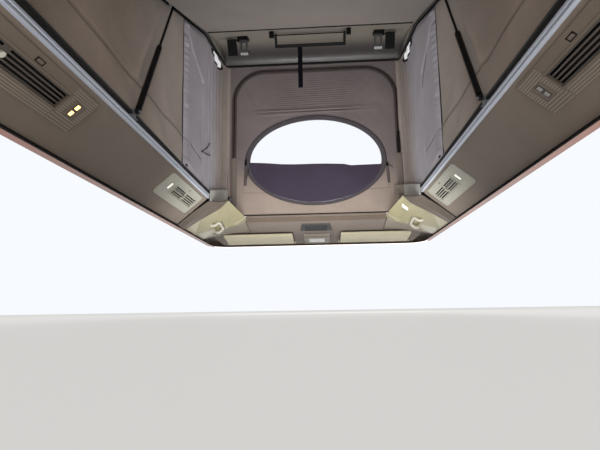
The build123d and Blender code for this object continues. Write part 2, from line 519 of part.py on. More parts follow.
foot_bracket += bar((STRUT_X - 9, FOOT_Y, FOOT_Z), (590, FOOT_Y, FOOT_Z), PIN_R)
nodes["strut_feet"] = pair(foot_bracket)
pin_y, pin_z = top_pin[1], top_pin[2]
head_bracket = box(592, 599.8, pin_y - 20, pin_y + 20, pin_z - 16, pin_z + 10)
head_bracket += bar((STRUT_X - 9, pin_y, pin_z), (594, pin_y, pin_z), PIN_R)
nodes["strut_heads"] = pair(head_bracket)

# Hinges of the top, on the deck behind the opening
base = box(HINGE_X - 40, HINGE_X + 40, HINGE_Y - 50, HINGE_Y + 6, DECK_Z, DECK_Z + 4)
for x in (HINGE_X - 30, HINGE_X + 22):
    base += box(x, x + 8, HINGE_Y - 8, HINGE_Y + 6, DECK_Z + 2, HINGE_Z + 7)
base += bar((HINGE_X - 30, HINGE_Y, HINGE_Z), (HINGE_X + 30, HINGE_Y, HINGE_Z), 4)
nodes["hinge_bases"] = pair(base)
leaf = bar((HINGE_X - 21, HINGE_Y, HINGE_Z), (HINGE_X + 21, HINGE_Y, HINGE_Z), 7.5)
leaf += box(HINGE_X - 21, HINGE_X + 21, SHELL_REAR - 4, SHELL_REAR - 0.2, HINGE_Z, 196)
leaf += box(HINGE_X - 21, HINGE_X + 21, HINGE_Y, SHELL_REAR - 1, HINGE_Z, HINGE_Z + 7)
leaf -= bar((HINGE_X - 40, HINGE_Y, HINGE_Z), (HINGE_X + 40, HINGE_Y, HINGE_Z), 4.1)
nodes["hinge_leaves"] = raised(pair(leaf))

os.makedirs("parts", exist_ok=True)
for name, part in nodes.items():
    export_step(part, f"parts/{name}.step")
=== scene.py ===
import json
from math import atan2, cos, exp, hypot, pi, radians, sin

import bmesh
import bpy
from mathutils import Matrix, Vector, noise
from mathutils.bvhtree import BVHTree


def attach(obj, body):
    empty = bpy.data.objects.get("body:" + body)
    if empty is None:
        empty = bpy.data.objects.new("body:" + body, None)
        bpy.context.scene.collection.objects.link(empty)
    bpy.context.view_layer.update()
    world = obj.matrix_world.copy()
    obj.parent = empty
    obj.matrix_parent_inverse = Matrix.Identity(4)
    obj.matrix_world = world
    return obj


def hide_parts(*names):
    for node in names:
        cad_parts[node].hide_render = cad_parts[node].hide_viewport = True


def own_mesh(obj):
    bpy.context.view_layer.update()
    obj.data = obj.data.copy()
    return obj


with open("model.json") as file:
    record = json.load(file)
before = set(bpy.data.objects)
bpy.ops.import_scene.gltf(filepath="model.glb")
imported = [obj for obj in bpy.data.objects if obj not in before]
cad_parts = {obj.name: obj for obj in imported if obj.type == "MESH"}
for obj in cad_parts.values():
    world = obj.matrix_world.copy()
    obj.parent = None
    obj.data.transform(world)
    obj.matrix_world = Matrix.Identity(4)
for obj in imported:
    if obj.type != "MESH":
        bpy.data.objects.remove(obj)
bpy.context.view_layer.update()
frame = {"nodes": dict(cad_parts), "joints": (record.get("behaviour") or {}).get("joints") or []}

# Camera
# It stands at the rear end of the van at the height of the bed board, looks forward through the
# van and up into the raised top. Places are in metres, as in the frame.
CAMERA_PLACE = Vector((0.052, -1.675, -0.470))
CAMERA_YAW, CAMERA_PITCH, CAMERA_ROLL = radians(-3.1), radians(10.7), radians(-0.9)
LENS_MM, SENSOR_MM = 27.0, 36.0

ahead = Vector((sin(CAMERA_YAW) * cos(CAMERA_PITCH), cos(CAMERA_YAW) * cos(CAMERA_PITCH), sin(CAMERA_PITCH)))
level = Vector((cos(CAMERA_YAW), -sin(CAMERA_YAW), 0))
over = level.cross(ahead)
camera_right = level * cos(CAMERA_ROLL) + over * sin(CAMERA_ROLL)
camera_up = over * cos(CAMERA_ROLL) - level * sin(CAMERA_ROLL)
camera_data = bpy.data.cameras.new("camera")
camera_data.lens, camera_data.sensor_width = LENS_MM, SENSOR_MM
camera_data.clip_start, camera_data.clip_end = 0.02, 80
camera = bpy.data.objects.new("camera", camera_data)
camera.matrix_world = Matrix((camera_right, camera_up, -ahead)).transposed().to_4x4()
camera.matrix_world.translation = CAMERA_PLACE
bpy.context.collection.objects.link(camera)
bpy.context.scene.camera = camera
bpy.context.scene.view_settings.view_transform = "Standard"


# Floor and light
# A plain pale floor just below the camera, a pale world, and wide soft lamps. The lamps below
# point up through the roof opening, because the inside of the top is what shows.
FLOOR_Z, FLOOR_HALF = -0.50, 30.0
FLOOR_COLOUR, WORLD_COLOUR = (0.80, 0.79, 0.77), (0.93, 0.96, 1.0)
# The camera sees the floor mostly as one even colour, and the world at full strength; the roof
# section is lit by a part of the world's strength
FLOOR_EVEN, WORLD_LIGHT = 0.75, 0.50
# Columns: name, place, point it faces, width, length, watts, spread in degrees
LAMPS = (("lamp_below_rear", (0, -1.0, -0.48), (0, -0.9, 1.0), 1.5, 1.6, 12, 180),
         ("lamp_below_front", (0, 0.80, -0.48), (0, 1.08, 0.5), 1.3, 0.8, 12, 110),
         ("lamp_inside", (0, -0.95, 0.30), (0, 1.1, 0.52), 0.9, 0.3, 5, 95),
         ("lamp_windscreen", (0, 3.4, 0.1), (0, 1.0, 0.3), 2.4, 1.2, 23, 180),
         ("lamp_sky", (1.5, -1.0, 5.5), (0, 0, 0.6), 5.0, 5.0, 240, 180))


def new_object(name, mesh):
    """An object for a mesh, at the origin of the frame."""
    thing = bpy.data.objects.new(name, mesh)
    bpy.context.collection.objects.link(thing)
    return thing


def link(tree, source, target):
    tree.links.new(source, target)


def node(tree, kind, inputs=None, **settings):
    """A node with its settings, and its inputs by name or number: values, or sockets to link."""
    new = tree.nodes.new(kind)
    for key, value in settings.items():
        setattr(new, key, value)
    for key, value in (inputs or {}).items():
        if isinstance(value, bpy.types.NodeSocket):
            tree.links.new(value, new.inputs[key])
        else:
            new.inputs[key].default_value = value
    return new


def principled(name, colour, roughness, **sockets):
    """A material, its node tree and its shader. Sockets are given by name with _ for a space."""
    material = bpy.data.materials.new(name)
    material.use_nodes = True
    tree = material.node_tree
    shader = tree.nodes["Principled BSDF"]
    shader.inputs["Base Color"].default_value = (*colour, 1)
    shader.inputs["Roughness"].default_value = roughness
    for socket, value in sockets.items():
        shader.inputs[socket.replace("_", " ")].default_value = value
    return material, tree, shader


floor_mesh = bpy.data.meshes.new("floor")
corners = [(x * FLOOR_HALF, y * FLOOR_HALF, FLOOR_Z) for x, y in ((-1, -1), (1, -1), (1, 1), (-1, 1))]
floor_mesh.from_pydata(corners, [], [(0, 1, 2, 3)])
floor = new_object("floor", floor_mesh)
floor_paint, floor_tree, floor_shader = principled("floor_paint", FLOOR_COLOUR, 0.7)
seen = node(floor_tree, "ShaderNodeLightPath").outputs["Is Camera Ray"]
even = node(floor_tree, "ShaderNodeEmission", {"Color": (*FLOOR_COLOUR, 1)}).outputs[0]
share = node(floor_tree, "ShaderNodeMath", {0: seen, 1: FLOOR_EVEN}, operation="MULTIPLY").outputs[0]
mix = node(floor_tree, "ShaderNodeMixShader", {0: share, 1: floor_shader.outputs[0], 2: even}).outputs[0]
link(floor_tree, mix, floor_tree.nodes["Material Output"].inputs["Surface"])
floor_mesh.materials.append(floor_paint)

world = bpy.data.worlds.new("pale_room")
bpy.context.scene.world = world
world.use_nodes = True
sky_tree = world.node_tree
seen = node(sky_tree, "ShaderNodeLightPath").outputs["Is Camera Ray"]
strength = node(sky_tree, "ShaderNodeMapRange", {"Value": seen, "To Min": WORLD_LIGHT, "To Max": 1.0}).outputs[0]
sky = sky_tree.nodes["Background"]
sky.inputs["Color"].default_value = (*WORLD_COLOUR, 1)
link(sky_tree, strength, sky.inputs["Strength"])

for name, place, faces, width, length, watts, spread in LAMPS:
    lamp_data = bpy.data.lights.new(name, "AREA")
    lamp_data.shape, lamp_data.size, lamp_data.size_y, lamp_data.energy = "RECTANGLE", width, length, watts
    lamp_data.spread = radians(spread)
    lamp = bpy.data.objects.new(name, lamp_data)
    toward = Vector(faces) - Vector(place)
    lamp.matrix_world = toward.to_track_quat("-Z", "Y").to_matrix().to_4x4()
    lamp.matrix_world.translation = place
    lamp.visible_camera = False
    lamp.visible_glossy = name != "lamp_inside"
    bpy.context.collection.objects.link(lamp)


# Outer skin: the fixed roof panel and the lifting lid
# Both are painted in the van's metallic copper orange under a clear coat; only the outside
# views show them. The flakes are fine cells that tilt and tint the base coat.
COPPER, COPPER_DEEP = (0.50, 0.135, 0.045), (0.33, 0.075, 0.025)
FLAKE_SIZE = 0.0009


def group(name, inputs, outputs):
    """A shader node group with its group input and output nodes."""
    tree = bpy.data.node_groups.new(name, "ShaderNodeTree")
    for label, kind, value in inputs:
        socket = tree.interface.new_socket(label, in_out="INPUT", socket_type="NodeSocket" + kind)
        socket.default_value = value
    for label, kind in outputs:
        tree.interface.new_socket(label, in_out="OUTPUT", socket_type="NodeSocket" + kind)
    return tree, tree.nodes.new("NodeGroupInput"), tree.nodes.new("NodeGroupOutput")


def object_place(tree):
    return node(tree, "ShaderNodeTexCoord").outputs["Object"]


def noisy(tree, place, **inputs):
    """Cloudy noise at a place, its inputs by name."""
    return node(tree, "ShaderNodeTexNoise", {"Vector": place, **inputs}).outputs["Fac"]


def ranged(tree, value, low, high, start=0.0, end=1.0):
    """A value that runs from start to end, spread from low to high."""
    return node(tree, "ShaderNodeMapRange", {"Value": value, "From Min": start, "From Max": end,
                                             "To Min": low, "To Max": high}).outputs[0]


def maths(tree, operation, first, second):
    return node(tree, "ShaderNodeMath", {0: first, 1: second}, operation=operation).outputs[0]


def relief(tree, height, strength, distance, normal):
    """Fine relief from a height, linked to a normal socket."""
    link(tree, node(tree, "ShaderNodeBump", {"Strength": strength, "Distance": distance, "Height": height}).outputs[0],
         normal)


def dress(name, material):
    """Give a CAD node its material."""
    mesh = frame["nodes"][name].data
    mesh.materials.clear()
    mesh.materials.append(material)


copper, tree, shader = principled("copper_paint", COPPER, 0.38, Metallic=0.75, Coat_Weight=1.0, Coat_Roughness=0.04)
place = object_place(tree)
flakes = node(tree, "ShaderNodeTexVoronoi", {"Vector": place, "Scale": 1 / FLAKE_SIZE}).outputs["Distance"]
cloudy = noisy(tree, place, Scale=3.0, Detail=3.0)
tint = node(tree, "ShaderNodeMix", {0: flakes, 6: (*COPPER, 1), 7: (*COPPER_DEEP, 1)}, data_type="RGBA")
link(tree, tint.outputs[2], shader.inputs["Base Color"])
link(tree, ranged(tree, cloudy, 0.30, 0.46), shader.inputs["Roughness"])
relief(tree, flakes, 0.05, 0.0002, shader.inputs["Normal"])
for name in ("roof_skin", "shell"):
    dress(name, copper)

# The inside of the roof panel, which only shows in gaps, keeps its dark primer
primer, tree, shader = principled("dark_primer", (0.035, 0.033, 0.032), 0.8)
place = object_place(tree)
spatter = noisy(tree, place, Scale=120.0, Detail=2.0)
link(tree, ranged(tree, spatter, 0.65, 0.9), shader.inputs["Roughness"])


def paint_where(name, material, chosen):
    """Give a second material to the faces of a CAD node that pass a test on their corners and normal."""
    thing = frame["nodes"][name]
    thing.data.materials.append(material)
    for polygon in thing.data.polygons:
        corners = [thing.matrix_world @ thing.data.vertices[index].co for index in polygon.vertices]
        if chosen(corners, polygon.normal):
            polygon.material_index = len(thing.data.materials) - 1


def faces_inwards(corners, normal):
    middle = sum(corners, Vector()) / len(corners)
    if abs(normal.z) > 0.15:
        return normal.z < 0 and middle.z > 0.012
    return normal.x * middle.x + normal.y * middle.y < 0


paint_where("roof_skin", primer, faces_inwards)


# Lining boards: side, rear, cab and nose linings and the ceiling board of the top
# They are pressed fibre boards faced with a fine needled felt, warm grey above and beige over
# the front seats. The nap is short fibre noise, with soft cloudy wear from hands.
LINING, CEILING, CAB_FELT = (0.158, 0.121, 0.090), (0.130, 0.103, 0.083), (0.155, 0.118, 0.091)
NOSE_SATIN, NOSE_PAINTED_SHADE = (0.215, 0.196, 0.165), (0.052, 0.046, 0.046)
FELT_FIBRE, CAB_START_Y = 0.0011, 1.1

felt, into, out = group("felt", [("Colour", "Color", (0.5, 0.5, 0.5, 1)), ("Fibre", "Float", FELT_FIBRE),
                                 ("Wear", "Float", 0.12)],
                        [("Colour", "Color"), ("Roughness", "Float"), ("Normal", "Vector")])
place = object_place(felt)
per_metre = maths(felt, "DIVIDE", 1.0, into.outputs["Fibre"])
fibres = noisy(felt, place, Scale=per_metre, Detail=3.0, Distortion=1.2)
wear = noisy(felt, place, Scale=5.0, Detail=4.0, Roughness=0.6)
speck = ranged(felt, fibres, 0.86, 1.12, 0.3, 0.7)
cloud = ranged(felt, wear, 0, 1, 0.3, 0.7)
low_share = maths(felt, "SUBTRACT", 1.0, into.outputs["Wear"])
cloud_share = node(felt, "ShaderNodeMix", {0: cloud, 2: low_share, 3: 1.06}).outputs[0]
both = maths(felt, "MULTIPLY", speck, cloud_share)
shade = node(felt, "ShaderNodeVectorMath", {0: into.outputs["Colour"], "Scale": both}, operation="SCALE").outputs[0]
link(felt, shade, out.inputs["Colour"])
link(felt, ranged(felt, fibres, 0.82, 0.98), out.inputs["Roughness"])
relief(felt, fibres, 0.35, 0.0006, out.inputs["Normal"])


def placed(tree, made, shader, **inputs):
    """A node group placed in a material with its own values, its outputs linked to the shader."""
    new = tree.nodes.new("ShaderNodeGroup")
    new.node_tree = made
    for key, value in inputs.items():
        new.inputs[key].default_value = value
    link(tree, new.outputs["Colour"], shader.inputs["Base Color"])
    link(tree, new.outputs["Roughness"], shader.inputs["Roughness"])
    link(tree, new.outputs["Normal"], shader.inputs["Normal"])
    return new


def felt_board(name, colour):
    material, tree, shader = principled(name, colour, 0.9, Sheen_Weight=0.25, Sheen_Roughness=0.5)
    placed(tree, felt, shader, Colour=(*colour, 1))
    return material


lining_felt, ceiling_felt = felt_board("lining_felt", LINING), felt_board("ceiling_felt", CEILING)
cab_felt = felt_board("cab_felt", CAB_FELT)

# The nose lining has a satin face that mirrors the light in soft clouds
def running_tone(tree, axis, start, end, before, after):
    """A colour that changes from one to another along an axis."""
    spot = node(tree, "ShaderNodeSeparateXYZ", {0: object_place(tree)}).outputs[axis]
    share = node(tree, "ShaderNodeMapRange", {"Value": spot, "From Min": start, "From Max": end},
                 interpolation_type="SMOOTHSTEP").outputs[0]
    return node(tree, "ShaderNodeMix", {0: share, 6: (*before, 1), 7: (*after, 1)}, data_type="RGBA").outputs[2]


nose_satin, tree, shader = principled("nose_satin", NOSE_SATIN, 0.42)
place = object_place(tree)
# Painted shade: the satin colour runs darker towards the front, lower end of the nose lining
link(tree, running_tone(tree, "Y", 0.78, 1.02, NOSE_SATIN, NOSE_PAINTED_SHADE), shader.inputs["Base Color"])
swell = noisy(tree, place, Scale=7.0, Detail=2.0)
link(tree, ranged(tree, swell, 0.30, 0.52), shader.inputs["Roughness"])
relief(tree, swell, 0.5, 0.012, shader.inputs["Normal"])
for name, material in (("side_lining_left", lining_felt), ("side_lining_right", lining_felt),
                       ("rear_lining", lining_felt),
                       ("ceiling_panel", ceiling_felt), ("nose_lining", nose_satin), ("cab_lining", cab_felt)):
    dress(name, material)


def over_the_cab(corners, normal):
    return faces_inwards(corners, normal) and min(corner.y for corner in corners) > CAB_START_Y


paint_where("roof_skin", cab_felt, over_the_cab)


# Moulded trim: corner panels, vents, console, grab handles and visor rods
# Injection moulded in cream beige and grained, with a fine leather grain that softens the gloss.
CREAM, HANDLE_CREAM, ROD_CREAM = (0.300, 0.272, 0.165), (0.55, 0.52, 0.44), (0.36, 0.33, 0.26)
COVER_TAUPE, TRIM_BEIGE = (0.086, 0.067, 0.051), (0.235, 0.205, 0.160)
VENT_BEIGE, VENT_PALE, SLAT_BROWN = (0.130, 0.101, 0.075), (0.300, 0.290, 0.235), (0.068, 0.055, 0.045)
CONSOLE_BEIGE, CONSOLE_DARK, DUCT_AND_SHADE_BLACK = (0.200, 0.165, 0.128), (0.020, 0.019, 0.019), (0.004, 0.004, 0.004)
EDGE_GREY, EDGE_BLACK = (0.028, 0.026, 0.025), (0.006, 0.006, 0.0065)
GRAIN_CELL = 0.0014

grain, into, out = group("moulded_grain", [("Colour", "Color", (0.5, 0.5, 0.5, 1)), ("Cell", "Float", GRAIN_CELL),
                                           ("Gloss", "Float", 0.45),
                         ("Depth", "Float", 0.25)], [("Colour", "Color"), ("Roughness", "Float"), ("Normal", "Vector")])
place = object_place(grain)
per_metre = maths(grain, "DIVIDE", 1.0, into.outputs["Cell"])
cells = node(grain, "ShaderNodeTexVoronoi", {"Vector": place, "Scale": per_metre},
             feature="SMOOTH_F1").outputs["Distance"]
dull = noisy(grain, place, Scale=9.0, Detail=4.0)
edge = ranged(grain, dull, 0.93, 1.05, 0.3, 0.7)
shade = node(grain, "ShaderNodeVectorMath", {0: into.outputs["Colour"], "Scale": edge}, operation="SCALE").outputs[0]
link(grain, shade, out.inputs["Colour"])
spread = ranged(grain, dull, -0.08, 0.08)
link(grain, maths(grain, "ADD", into.outputs["Gloss"], spread), out.inputs["Roughness"])
relief(grain, cells, into.outputs["Depth"], 0.0004, out.inputs["Normal"])


def moulded(name, colour, gloss, depth=0.25, **sockets):
    material, tree, shader = principled(name, colour, gloss, **sockets)
    placed(tree, grain, shader, Colour=(*colour, 1), Gloss=gloss, Depth=depth)
    return material


cream = moulded("cream_moulding", CREAM, 0.36, 0.15, Coat_Weight=0.25, Coat_Roughness=0.2)
vent_beige, vent_pale = moulded("vent_beige", VENT_BEIGE, 0.5), moulded("vent_pale", VENT_PALE, 0.45)
for name, material in (("corner_panel", cream), ("corner_cover", moulded("cover_taupe", COVER_TAUPE, 0.55)),
                       ("corner_trim", moulded("trim_beige", TRIM_BEIGE, 0.6)),
                       ("vent_front", vent_pale), ("vent_rear", vent_beige)):
    for side in ("_left", "_right"):
        dress(name + side, material)
dress("overhead_console", moulded("console_beige", CONSOLE_BEIGE, 0.45))
dress("console_grille", moulded("console_dark", CONSOLE_DARK, 0.5))
dress("visor_rods", moulded("rod_cream", ROD_CREAM, 0.4, 0.1))
dress("top_edge_lining", moulded("edge_grey", EDGE_GREY, 0.7))
dress("top_board_edge", moulded("edge_black", EDGE_BLACK, 0.6, Specular_IOR_Level=0.25))

# Where things lie on a side lining: along the roof, down the slope from the rail, and out of the face
LINER_TOP, SLANT = (0.616, 0.157), atan2(0.138, 0.164)


def on_slope(place):
    across, up = abs(place[0]) - LINER_TOP[0], place[2] - LINER_TOP[1]
    return place[1], across * cos(SLANT) - up * sin(SLANT), -across * sin(SLANT) - up * cos(SLANT)


def off_slope(along, down, out_of, side):
    return Vector((side * (LINER_TOP[0] + down * cos(SLANT) - out_of * sin(SLANT)), along,
                   LINER_TOP[1] - down * sin(SLANT) - out_of * cos(SLANT)))


# The rear slats are brown, and their thumb wheels pale
# Painted shade: the slots are painted near black, for the dark ducts behind them and the shade in them
duct_and_shade_black = moulded("duct_and_shade_black", DUCT_AND_SHADE_BLACK, 0.9, Specular_IOR_Level=0.1)
slat_brown, wheel_cream = moulded("slat_brown", SLAT_BROWN, 0.45), moulded("wheel_cream", HANDLE_CREAM, 0.35, 0.1)
# Where the rear vents' switch well and slats are: ranges along the roof and down the slope
SWITCH, SLATS_END = (-0.7205, -0.6875, 0.0155, 0.0315), -0.54
GRILLE_DOWN, THUMB_DOWN = (0.0405, 0.0955), (0.0585, 0.0775)


def within(corners, low, high):
    """Whether all the corners lie in the grilles' window and their mean height over the lining in a range."""
    spots = [on_slope(corner) for corner in corners]
    mean = sum(spot[2] for spot in spots) / len(spots)
    return all(GRILLE_DOWN[0] < spot[1] < GRILLE_DOWN[1] for spot in spots) and low < mean < high


def in_switch(corners):
    spots = [on_slope(corner) for corner in corners]
    inside = all(SWITCH[0] < spot[0] < SWITCH[1] and SWITCH[2] < spot[1] < SWITCH[3] for spot in spots)
    return inside and sum(spot[2] for spot in spots) / len(spots) < 0.0048


for side in ("_left", "_right"):
    paint_where("vent_rear" + side, slat_brown,
                lambda corners, normal: within(corners, -0.1, 0.0021) and corners[0].y < SLATS_END)
    paint_where("vent_rear" + side, wheel_cream, lambda corners, normal: within(corners, 0.0023, 0.1) and all(
        THUMB_DOWN[0] < on_slope(corner)[1] < THUMB_DOWN[1] for corner in corners))
    for vent in ("vent_rear", "vent_front"):
        paint_where(vent + side, duct_and_shade_black, lambda corners, normal: within(corners, -0.1, 0.0018))
    # Painted shadow: the switch well round the rocker is painted black
    paint_where("vent_rear" + side, duct_and_shade_black, lambda corners, normal: in_switch(corners))


def growing_tree(name, inputs):
    """A Geometry Nodes tree that follows a line, with named inputs and a finish."""
    tree = bpy.data.node_groups.new(name, "GeometryNodeTree")
    tree.interface.new_socket("Line", in_out="INPUT", socket_type="NodeSocketGeometry")
    for label, kind in inputs + [("Finish", "Material")]:
        tree.interface.new_socket(label, in_out="INPUT", socket_type="NodeSocket" + kind)
    tree.interface.new_socket("Made", in_out="OUTPUT", socket_type="NodeSocketGeometry")
    into = tree.nodes.new("NodeGroupInput")
    return tree, into, node(tree, "GeometryNodeMeshToCurve", {"Mesh": into.outputs["Line"]}).outputs[0]


def close_tree(tree, into, made):
    real = node(tree, "GeometryNodeRealizeInstances", {0: made}).outputs[0]
    coated = node(tree, "GeometryNodeSetMaterial", {"Geometry": real, "Material": into.outputs["Finish"]}).outputs[0]
    node(tree, "NodeGroupOutput", {0: coated})


# A row of small blocks: the first side of a block lies along the line, the last one along Facing
row_of_blocks, into, line = growing_tree("row_of_blocks", [("Pitch", "Float"), ("Block", "Vector"),
                                                           ("Facing", "Vector")])
spots = node(row_of_blocks, "GeometryNodeResampleCurve", {"Curve": line, "Length": into.outputs["Pitch"]},
             mode="LENGTH").outputs[0]
tangent = node(row_of_blocks, "GeometryNodeInputTangent").outputs[0]
lined_up = node(row_of_blocks, "FunctionNodeAlignRotationToVector", {"Vector": tangent}, axis="X").outputs[0]
turned = node(row_of_blocks, "FunctionNodeAlignRotationToVector",
              {"Rotation": lined_up, "Vector": into.outputs["Facing"]},
              axis="Z", pivot_axis="X").outputs[0]
block = node(row_of_blocks, "GeometryNodeMeshCube", {"Size": into.outputs["Block"]}).outputs[0]
close_tree(row_of_blocks, into, node(row_of_blocks, "GeometryNodeInstanceOnPoints",
                                     {"Points": spots, "Instance": block, "Rotation": turned}).outputs[0])

tube, into, line = growing_tree("tube", [("Radius", "Float"), ("Sides", "Int")])
ring = node(tube, "GeometryNodeCurvePrimitiveCircle", {"Resolution": into.outputs["Sides"],
                                                       "Radius": into.outputs["Radius"]}).outputs[0]
pipe = node(tube, "GeometryNodeCurveToMesh", {"Curve": line, "Profile Curve": ring, "Fill Caps": True}).outputs[0]
close_tree(tube, into, node(tube, "GeometryNodeSetShadeSmooth", {"Geometry": pipe}).outputs[0])


def grown(name, tree, lines, finish, slot_name, closed=False, **values):
    """A plain mesh that a Geometry Nodes tree makes along one or more lines of points."""
    points, edges = [], []
    for line in lines:
        first = len(points)
        points += line
        edges += [(first + i, first + i + 1) for i in range(len(line) - 1)]
        edges += [(len(points) - 1, first)] if closed else []
    mesh = bpy.data.meshes.new(name + "_line")
    mesh.from_pydata(points, edges, [])
    piece = new_object(name, mesh)
    follow = piece.modifiers.new("follow", "NODES")
    follow.node_group = tree
    for socket in tree.interface.items_tree:
        if socket.in_out == "INPUT" and socket.name in ("Finish", *values):
            follow[socket.identifier] = finish if socket.name == "Finish" else values[socket.name]
    made = bpy.data.meshes.new_from_object(piece.evaluated_get(bpy.context.evaluated_depsgraph_get()))
    piece.modifiers.remove(follow)
    piece.data, made.name = made, name
    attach(piece, "roof")
    return piece


def slabs(name, spans, place, material, slot_name, round_off=0.0008):
    """Blocks with rounded edges: each is three ranges, which place turns into points."""
    bm = bmesh.new()
    for (a0, a1), (b0, b1), (c0, c1) in spans:
        verts = [bm.verts.new(place(a, b, c)) for a in (a0, a1) for b in (b0, b1) for c in (c0, c1)]
        for face in ((0, 1, 3, 2), (4, 6, 7, 5), (0, 4, 5, 1), (2, 3, 7, 6), (0, 2, 6, 4), (1, 5, 7, 3)):
            bm.faces.new([verts[index] for index in face])
    bmesh.ops.recalc_face_normals(bm, faces=bm.faces)
    mesh = bpy.data.meshes.new(name)
    bm.to_mesh(mesh)
    bm.free()
    mesh.materials.append(material)
    piece = new_object(name, mesh)
    edge = piece.modifiers.new("edge", "BEVEL")
    edge.width, edge.segments = round_off, 2
    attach(piece, "roof")
    return piece


# Fine ribs run along the rear vents' lower band and over their whole front end, round the reading lamp
SIDES = ((-1, "_left"), (1, "_right"))
# Columns: from and to along the roof, first and last rib down the slope
VENT_RIBS = ((-1.128, -0.552, 0.106, 0.130), (-0.548, -0.440, 0.012, 0.036), (-0.548, -0.520, 0.044, 0.092),
             (-0.462, -0.438, 0.044, 0.092), (-0.548, -0.440, 0.100, 0.130))
RIB_PITCH, RIB_WIDTH, RIB_HEIGHT, PLATE_OUT = 0.0078, 0.0036, 0.0022, 0.005
LAMP_LIT, LAMP_CLEAR = (1.0, 0.66, 0.26), (0.30, 0.29, 0.27)
LIGHT_WHITE, LIGHT_GLOW = (0.85, 0.85, 0.80), (0.95, 0.93, 0.86)
BEZEL_BROWN, BUTTON_GREY, RIB_PAINTED_HIGHLIGHT = (0.035, 0.028, 0.022), (0.12, 0.12, 0.11), (0.235, 0.200, 0.160)
bezel_brown = moulded("bezel_brown", BEZEL_BROWN, 0.4)
lit_lens, tree, shader = principled("lit_lens", LAMP_LIT, 0.2, Emission_Color=(*LAMP_LIT, 1), Emission_Strength=2.2)
glow = node(tree, "ShaderNodeTexVoronoi", {"Vector": object_place(tree), "Scale": 260.0}).outputs["Distance"]
relief(tree, glow, 0.4, 0.001, shader.inputs["Normal"])
clear_lens = moulded("clear_lens", LAMP_CLEAR, 0.15, 0.4, Coat_Weight=0.6)
white_lens, tree, shader = principled("white_lens", LIGHT_WHITE, 0.25, Emission_Color=(*LIGHT_GLOW, 1),
                                      Emission_Strength=0.55)
prisms = node(tree, "ShaderNodeTexWave", {"Vector": object_place(tree), "Scale": 0.314 / 0.0035}).outputs["Fac"]
relief(tree, prisms, 0.3, 0.0005, shader.inputs["Normal"])
# Painted highlight: the ribs are painted lighter than the plate they are moulded with, for the light they catch
button_grey, rib_painted_highlight = moulded("button_grey", BUTTON_GREY, 0.4), moulded("rib_painted_highlight", RIB_PAINTED_HIGHLIGHT, 0.45)
for side, suffix in SIDES:
    def here(along, down, out_of, side=side):
        return off_slope(along, down, out_of, side)
    facing = here(0, 0, 1) - here(0, 0, 0)
    for row, (u0, u1, first, last) in enumerate(VENT_RIBS):
        middle = (u0 + u1) / 2
        rib_line = [here(middle, first, PLATE_OUT), here(middle, last, PLATE_OUT)]
        grown(f"vent_ribs_{row}{suffix}", row_of_blocks, [rib_line], rib_painted_highlight, "vent_plastic",
              Pitch=RIB_PITCH, Block=(RIB_WIDTH, u1 - u0, RIB_HEIGHT), Facing=tuple(facing))
    slat_line = [here(0.455, 0.0536, 0.0022), here(0.455, 0.0812, 0.0022)]
    grown("vent_slats_front" + suffix, row_of_blocks, [slat_line], vent_pale, "vent_plastic",
          Pitch=0.0092, Block=(0.0030, 0.139, 0.0030), Facing=tuple(facing))
    # Columns: piece, its blocks as ranges along the roof, down the slope and out of it, material, slot
    for name, blocks, material, slot_name in (
            ("reading_lamp_bezel", [((-0.514, -0.468), (0.040, 0.094), (0.003, 0.0052))], vent_beige, "vent_plastic"),
            ("reading_lamp_frame", [((-0.502, -0.480), (0.043, 0.091), (0.004, 0.0060))], bezel_brown, "console_dark"),
            ("reading_lamp", [((-0.498, -0.484), down, (0.004, 0.0068)) for down in ((0.047, 0.063), (0.071, 0.087))],
             lit_lens if side < 0 else clear_lens, "vent_plastic"),
            ("vent_light", [((0.321, 0.333), (0.048, 0.082), (0.003, 0.0068))], white_lens, "vent_plastic"),
            ("vent_button", [((0.517, 0.525), (0.018, 0.026), (0.006, 0.0088))], button_grey, "console_dark")):
        slabs(name + suffix, blocks, here, material, slot_name)

# Each assist handle is a bow on two feet, moulded in one; its bar stands off the dished panel.
# The panel ends over the cab along a line: places across and along the roof
PANEL_END = ((0.4445, 1.1335), (0.500, 1.1515), (0.560, 1.1710), (0.600, 1.1840), (0.645, 1.2205), (0.686, 1.2545))
HANDLE_FEET, HANDLE_BOW, HANDLE_RADIUS, HANDLE_BEND = (0.658, 1.072, 1.212), (0.608, 1.080, 1.204), 0.0095, 0.020
handle_cream = moulded("handle_cream", HANDLE_CREAM, 0.38, 0.12)
rubber_cap = moulded("rubber_cap", (0.010, 0.010, 0.010), 0.8, 0.3)


def surface_of(things):
    """The faces of some objects, to lay things on."""
    points, faces = [], []
    for thing in things:
        faces += [[len(points) + index for index in polygon.vertices] for polygon in thing.data.polygons]
        points += [thing.matrix_world @ vertex.co for vertex in thing.data.vertices]
    return BVHTree.FromPolygons(points, faces)


def filled(points, step=0.012):
    """A line of points with more between them, not further apart than a step."""
    line = []
    for start, end in zip(points, points[1:]):
        start, end = Vector(start), Vector(end)
        count = max(1, round((end - start).length / step))
        line += [start.lerp(end, share / count) for share in range(count)]
    return line + [Vector(points[-1])]


def eased(points, bend):
    """A line of points with its corners rounded off."""
    line = [points[0]]
    for before, corner, after in zip(points, points[1:], points[2:]):
        start, end = corner + (before - corner).normalized() * bend, corner + (after - corner).normalized() * bend
        line += [start.lerp(corner, t / 6).lerp(corner.lerp(end, t / 6), t / 6) for t in range(7)]
    return line + [points[-1]]


